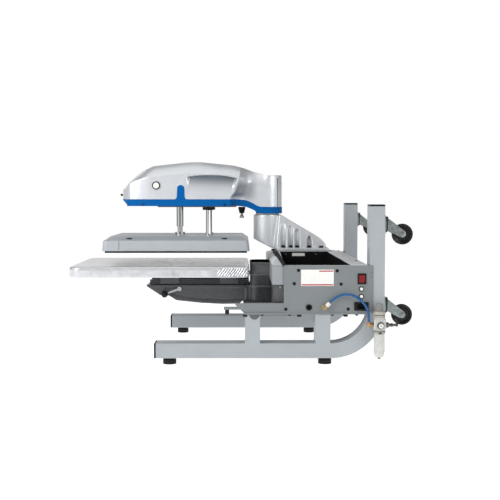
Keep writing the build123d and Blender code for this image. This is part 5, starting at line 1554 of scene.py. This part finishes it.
def regulator_body():
    """Die-cast body on its bracket, with a two-step collar, a ported lower ring and a window."""
    x, y = REGULATOR
    body = bmesh.new()
    for low, high, half, corner in ((129, 160, 20.5, 7), (126, 129, 19.5, 8), (160, 165, 18.5, 9)):
        plate(body, rounded(rectangle(REGULATOR, (2 * half, 2 * half)), corner), "z", low, high)
    for side in (-1, 1):
        port = [(0, 17), (12.5, 17), (12.5, 20), (11.6, 20.5), (7, 20.5), (0, 20.5)]
        turned(body, handed(port, side), (x, y, PORT_Z + 4), "y", 32)
    turned(body, [(0, 18), (13, 18), (13, 20), (12.2, 20.5), (0, 20.5)], (x, y + 2, PORT_Z), "x", 36)
    boxed(body, (BRACKET_X, x - 20), (y - 13, y + 13), (131, 161))
    plate(body, [(y - 17, 123), (y + 17, 123), (y + 17, 179), (y - 17, 179)], "x", BRACKET_X,
          BRACKET_X + 3)
    piece = made("regulator_body_finished", body, "regulator_cast", "base", 0.8)
    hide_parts("regulator_body")
    collars = bmesh.new()
    upper = [(0, 165), (19, 165), (19.2, 166), (19.2, 172), (18.4, 173), (18.4, 174.4), (20, 175.2),
             (20, 183.6), (19, 185.6), (16, 187), (7, 187.4), (0, 187.4)]
    lower = [(0, 110), (18.6, 110), (20.2, 111.4), (20.2, 118), (19.4, 118.8), (19.4, 120.4),
             (20.2, 121.2), (20.2, 125.6), (19, 127), (0, 127)]
    for profile in (upper, lower):
        turned(collars, profile, REGULATOR_AXIS, "z", 48)
    made("regulator_collars", collars, "collar_grey", "base", 0.3)
    dark = bmesh.new()
    for radius, low, high in ((18.9, 172.8, 174.6), (19.8, 118.6, 120.6)):
        turned(dark, [(0, low), (radius, low), (radius, high), (0, high)], REGULATOR_AXIS, "z", 40)
    boxed(dark, (x + 19.6, x + 20.6), (y - 5, y + 5), (112.5, 117))
    made("regulator_grooves", dark, "black_plastic", "base")


def regulator_knob():
    """Pull-to-unlock knob with grip flutes and a domed cap."""
    knob = bmesh.new()
    turned(knob, [(6.2, 187.6), (12.4, 187.6), (12.6, 189), (12.2, 190), (12.2, 209), (11.6, 211.4),
                  (9, 212.4), (0, 212.5)], REGULATOR_AXIS, "z", 48)
    for step in range(KNOB_RIBS):
        rib = spoked(REGULATOR, 2 * math.pi * step / KNOB_RIBS,
                     ((11.8, -0.7), (13.0, -0.45), (13.0, 0.45), (11.8, 0.7)))
        plate(knob, rib, "z", 190.5, 208.5)
    piece = made("regulator_knob_finished", knob, "knob_grey", "regulator_knob", 0.25)
    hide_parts("regulator_knob")


def filter_bowl():
    """Cloudy bowl with moulded guard ribs, the filter element inside it and a drain."""
    bowl = bmesh.new()
    turned(bowl, [(0, 31), (6, 31), (10.5, 32), (14.4, 35), (16.6, 40), (17.3, 48), (17.5, 92), (17.5, 110),
                  (15.4, 110), (15.2, 48), (13, 42), (9, 39.2), (0, 38.8)], REGULATOR_AXIS, "z", 48)
    for step in range(BOWL_RIBS):
        rib = spoked(REGULATOR, 2 * math.pi * (step + 0.5) / BOWL_RIBS,
                     ((16.8, -2.2), (18.2, -1.6), (18.2, 1.6), (16.8, 2.2)))
        plate(bowl, rib, "z", 50, 106)
    for low, high in ((86, 89), (50, 53)):
        turned(bowl, [(16.8, low), (18.3, low), (18.3, high), (16.8, high)], REGULATOR_AXIS, "z", 48)
    piece = made("filter_bowl_finished", bowl, "bowl", "base", 0.3)
    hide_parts("filter_bowl")
    element = [(0, 62), (9, 62), (9, 64), (7, 65), (7, 98), (11, 101), (11, 109.5), (0, 109.5)]
    drain = [(0, 26.6), (3, 26.6), (3.2, 28), (5.6, 28.2), (5.8, 31.5), (0, 31.5)]
    turned_piece("filter_element", element, REGULATOR_AXIS, "z", 32, "white_plastic", "base", 0.3)
    turned_piece("bowl_drain", drain, REGULATOR_AXIS, "z", 24, "black_plastic", "base", 0.3)


def pressure_gauge():
    """Small round gauge with a white dial, plain tick marks and a needle."""
    face = (REGULATOR[1] + 2, PORT_Z)
    x = REGULATOR[0] + 20.5
    case = [(0, 0), (10.2, 0), (10.5, 0.8), (10.5, 9.2), (10, 9.9), (9.2, 9.9), (8.9, 8.6), (0, 8.6)]
    piece = turned_piece("gauge_case", case, (x, *face), "x", 48, "black_plastic", "base", 0.2)
    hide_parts("pressure_gauge")
    dial = [(0, 8.4), (8.8, 8.4), (8.8, 8.8), (0, 8.8)]
    turned_piece("gauge_dial", dial, (x, *face), "x", 40, "white_plastic", "base")
    marks = bmesh.new()
    for step in range(11):
        foot = 7.9 - (2.2 if step % 5 == 0 else 1.3)
        tick = spoked(face, math.radians(225 - 27 * step),
                      ((foot, -0.28), (7.9, -0.28), (7.9, 0.28), (foot, 0.28)))
        plate(marks, tick, "x", x + 8.8, x + 8.95)
    needle = spoked(face, math.radians(118), ((-3, -0.7), (6.6, -0.2), (6.6, 0.2), (-3, 0.7)))
    plate(marks, needle, "x", x + 9.0, x + 9.3)
    turned(marks, [(0, 8.9), (1.5, 8.9), (1.5, 9.5), (0, 9.5)], (x, *face), "x", 16)
    made("gauge_marks", marks, "black_plastic", "base")


def air_plug_and_elbow():
    """Steel air plug, and the brass elbow with its release ring."""
    x = REGULATOR[0]
    plug = [(0, 481.5), (9.2, 481.5), (9.2, 490.5), (8.4, 492), (5.2, 492), (5.2, 499), (6.6, 500.5),
            (6.6, 504), (5.2, 505.5), (4.4, 508), (4.4, 515), (5.6, 516.5), (5.6, 521.5), (4.6, 523),
            (2.6, 523), (2.6, 516), (0, 516)]
    piece = turned_piece("air_plug", plug, (x, 0, PORT_Z), "y", 24, "plug_steel", "base", 0.25)
    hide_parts("air_fittings")
    elbow = bmesh.new()
    turned(elbow, [(0, 424), (6, 424), (6, 431), (7.4, 431.6), (7.4, 437.4), (6.4, 438), (6.4, 440.5),
                   (0, 440.5)], (x, 0, PORT_Z), "y", 32)
    turned(elbow, [(0, 133), (5.4, 133), (7, 134.6), (7, 144.5), (6.4, 145.4), (0, 145.4)],
           (x, ELBOW_Y, 0), "z", 32)
    made("hose_elbow", elbow, "brass", "base", 0.3)
    ring = [(4.2, 145.4), (6.2, 145.4), (7, 146.2), (7, 148.6), (6.2, 149.8), (4.2, 150)]
    turned_piece("elbow_release_ring", ring, (x, ELBOW_Y, 0), "z", 32, "ring_pink", "base")


def panel_fitting():
    """Angled brass fitting on the side panel, with a white sleeve that points along the hose."""
    mouth = Vector(HOSE_ROUTE[0])
    start = Vector((mouth.x, *FITTING))
    reach = (mouth - start).length
    turn = (mouth - start).to_track_quat("Z", "Y").to_matrix()
    steps = 28
    angles = [2 * math.pi * step / steps for step in range(steps)]

    def inclined(shape, profile):
        rings = []
        for radius, height in profile:
            spots = [(radius * math.cos(angle), radius * math.sin(angle), height) for angle in angles]
            rings.append([start + turn @ Vector(spot) for spot in spots])
        return ringed(shape, rings)

    fitting = bmesh.new()
    for profile in ([(0, 421), (9, 421), (9, 424.4), (7.6, 425.4), (5, 425.4), (5, 433), (0, 433)],
                    [(0, 427), (6.6, 427), (7.2, 428), (7.2, 438.6), (6.4, 440), (0, 440)]):
        turned(fitting, profile, (0, *FITTING), "x", steps)
    inclined(fitting, [(5.6, -6), (7.2, -4), (7.2, 6), (6.4, 7)])
    made("panel_fitting", fitting, "brass", "base", 0.3)
    sleeve = inclined(bmesh.new(), [(6.4, 7), (7.3, 7.6), (7.3, reach - 3.4), (6.6, reach - 2.4)])
    made("panel_fitting_sleeve", sleeve, "white_sleeve", "base", 0.3)
    collar = inclined(bmesh.new(), [(4.3, reach - 2.6), (6, reach - 2.4), (6, reach - 0.4), (4.3, reach)])
    made("panel_fitting_collar", collar, "brass", "base", 0.2)


regulator_body()
regulator_knob()
filter_bowl()
pressure_gauge()
air_plug_and_elbow()
panel_fitting()


# ---- Small parts of the head and the press ----
SILENCER_AXIS = (0, 3, 0)
LEVER_PIVOT, LEVER_KNOB = (-229.0, 225.0), (-284.0, 205.0)
BALL_RADIUS = 12.5
BALL_X = 74.5
GASKET_HALF = 1.1


def exhaust_silencer():
    """Black silencer body with a flared sintered tip."""
    body = [(0, 529), (13, 529), (13, 522), (12, 519), (9.4, 507), (8, 505), (0, 505)]
    piece = turned_piece("silencer_body", body, SILENCER_AXIS, "z", 32, "black_plastic", "head", 0.4)
    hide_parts("exhaust_silencer")
    tip = [(0, 505), (4.2, 505), (4.4, 500), (8.4, 491), (8.6, 488.4), (7.6, 487.2), (0, 487.2)]
    turned_piece("silencer_tip", tip, SILENCER_AXIS, "z", 32, "plain_steel", "head", 0.3)


def lock_lever():
    """Draw lock beside the arm: a bright cranked rod with a black ball knob."""
    pivot, knob = Vector(LEVER_PIVOT), Vector(LEVER_KNOB)
    rod = bmesh.new()
    turned(rod, [(0, 41), (5, 41), (5, 61), (9, 61), (9, 66.4), (8, 67.4), (0, 67.4)], (0, *pivot), "x", 32)
    across = (knob - pivot).normalized()
    side = Vector((-across.y, across.x))
    outline = [pivot + side * 4.6, pivot - side * 4.6, knob - side * 3.2, knob + side * 3.2]
    plate(rod, outline, "x", 61.6, 66.4)
    piece = made("lock_lever_finished", rod, "plain_steel", "lock_lever", 0.8)
    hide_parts("lock_lever")
    angles = [math.radians(degrees) for degrees in range(-85, 86, 10)]
    ball = [(BALL_RADIUS * math.cos(angle), BALL_RADIUS * math.sin(angle) + BALL_X) for angle in angles]
    turned_piece("lever_ball", ball, (0, *knob), "x", 32, "tyre", "lock_lever")


def column_gasket():
    """Black gasket standing in the joint of the column's rear cover; the strip also stands in for the dark
    band that the column's curve reflects there, a painted reflection.
    """
    gasket = bmesh.new()
    reach = math.sqrt(COLUMN_RADIUS ** 2 - (SIDE_SEAM_Y - SWING_Y) ** 2)
    for side in (-1, 1):
        boxed(gasket, span(side, reach - 3, reach + 0.4),
              (SIDE_SEAM_Y - GASKET_HALF, SIDE_SEAM_Y + GASKET_HALF), (TOWER_TOP + 30, TOWER_TOP + 136))
    made("column_gasket", gasket, "rubber", "head", 0.3)


def small_screws():
    """Screws of the head's trim and the cover's bolts, by Geometry Nodes."""
    bolts = [(x, y, BOLT_SEAT) for x, y in COVER_BOLTS]
    # The bolts take the darkened rail steel: painted shade inside their pockets.
    cover = fasteners("cover_bolts_finished", bolts, "+z", (7.5, 7.4), (10.5, 1.4), "dark_rail", "press")
    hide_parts("cover_bolts")
    for hand, facing, side in SIDES:
        spots = [(side * (108 + TRIM_PROUD - 0.2), y, TOWER_TOP + 37) for y in (-358, -60)]
        fasteners(f"trim_screws_{hand}", spots, facing, (2.8, 1.0), (3.4, 0.3), "black_plastic", "head")


exhaust_silencer()
lock_lever()
column_gasket()
small_screws()


# ---- Sub-parts whose shape is kept ----
SLOT_OF = {part["node"]: part["material_slot"] for part in record["subparts"]}
MADE_AFRESH = {
    "air_hose", "head_shell", "head_trim", "platen_pad", "platen_cover", "tower_casting",
    "base_casting", "front_cover", "base_screws", "caster_plates", "regulator_body",
    "regulator_knob", "filter_bowl", "pressure_gauge", "air_fittings", "exhaust_silencer",
    "lock_lever", "cover_bolts",
    *[f"caster_{kind}_{index}" for kind in ("fork", "wheel") for index in range(1, 5)]}
SOFT_EDGES = {            # width of the rounded edges; a sub-part that is not here keeps its edges
    "right_side_frame": 4.0, "left_side_frame": 4.0, "frame_end_caps": 2.5, "cross_beams": 2.5,
    "rubber_feet": 1.0, "base_tray": 1.0, "right_side_panel": 0.6, "left_side_panel": 0.6,
    "rear_panel": 0.5, "top_cover": 0.8, "tool_trays": 0.8, "head_beam": 1.5, "touch_screen": 0.8,
    "air_cylinder": 1.0, "guide_bushes": 1.0, "button_bezels": 0.6, "piston_rod": 0.6,
    "guide_rods": 0.6, "heat_platen": 0.8, "slide_rails": 0.8, "slide_carriage": 1.0,
    "lower_platen": 1.5, "switch_bezel": 0.6, "panel_sockets": 0.6, "control_board": 0.4,
    "valve_block": 0.6, "swing_shaft": 0.5, "swing_bearings": 0.5, "stop_button": 0.3}
# The slide rails take the darkened rail steel: painted shade under the lower platen.
OWN_PAINT = {"heat_platen": "heater_edge", "tool_trays": "tray_black", "swing_bearings": "pale_washer",
             "slide_rails": "dark_rail"}


def softened(node):
    """A sub-part's own shape with its sharp edges rounded."""
    mesh = mesh_of(shape_of(node), node + "_finished")
    smooth(mesh, 32)
    piece = new_piece(node + "_finished", mesh, OWN_PAINT.get(node, SLOT_OF[node]))
    if node in SOFT_EDGES:
        add_bevel(piece, SOFT_EDGES[node])
    stands_for(piece, node)


for kept in nodes:
    if kept not in MADE_AFRESH:
        softened(kept)
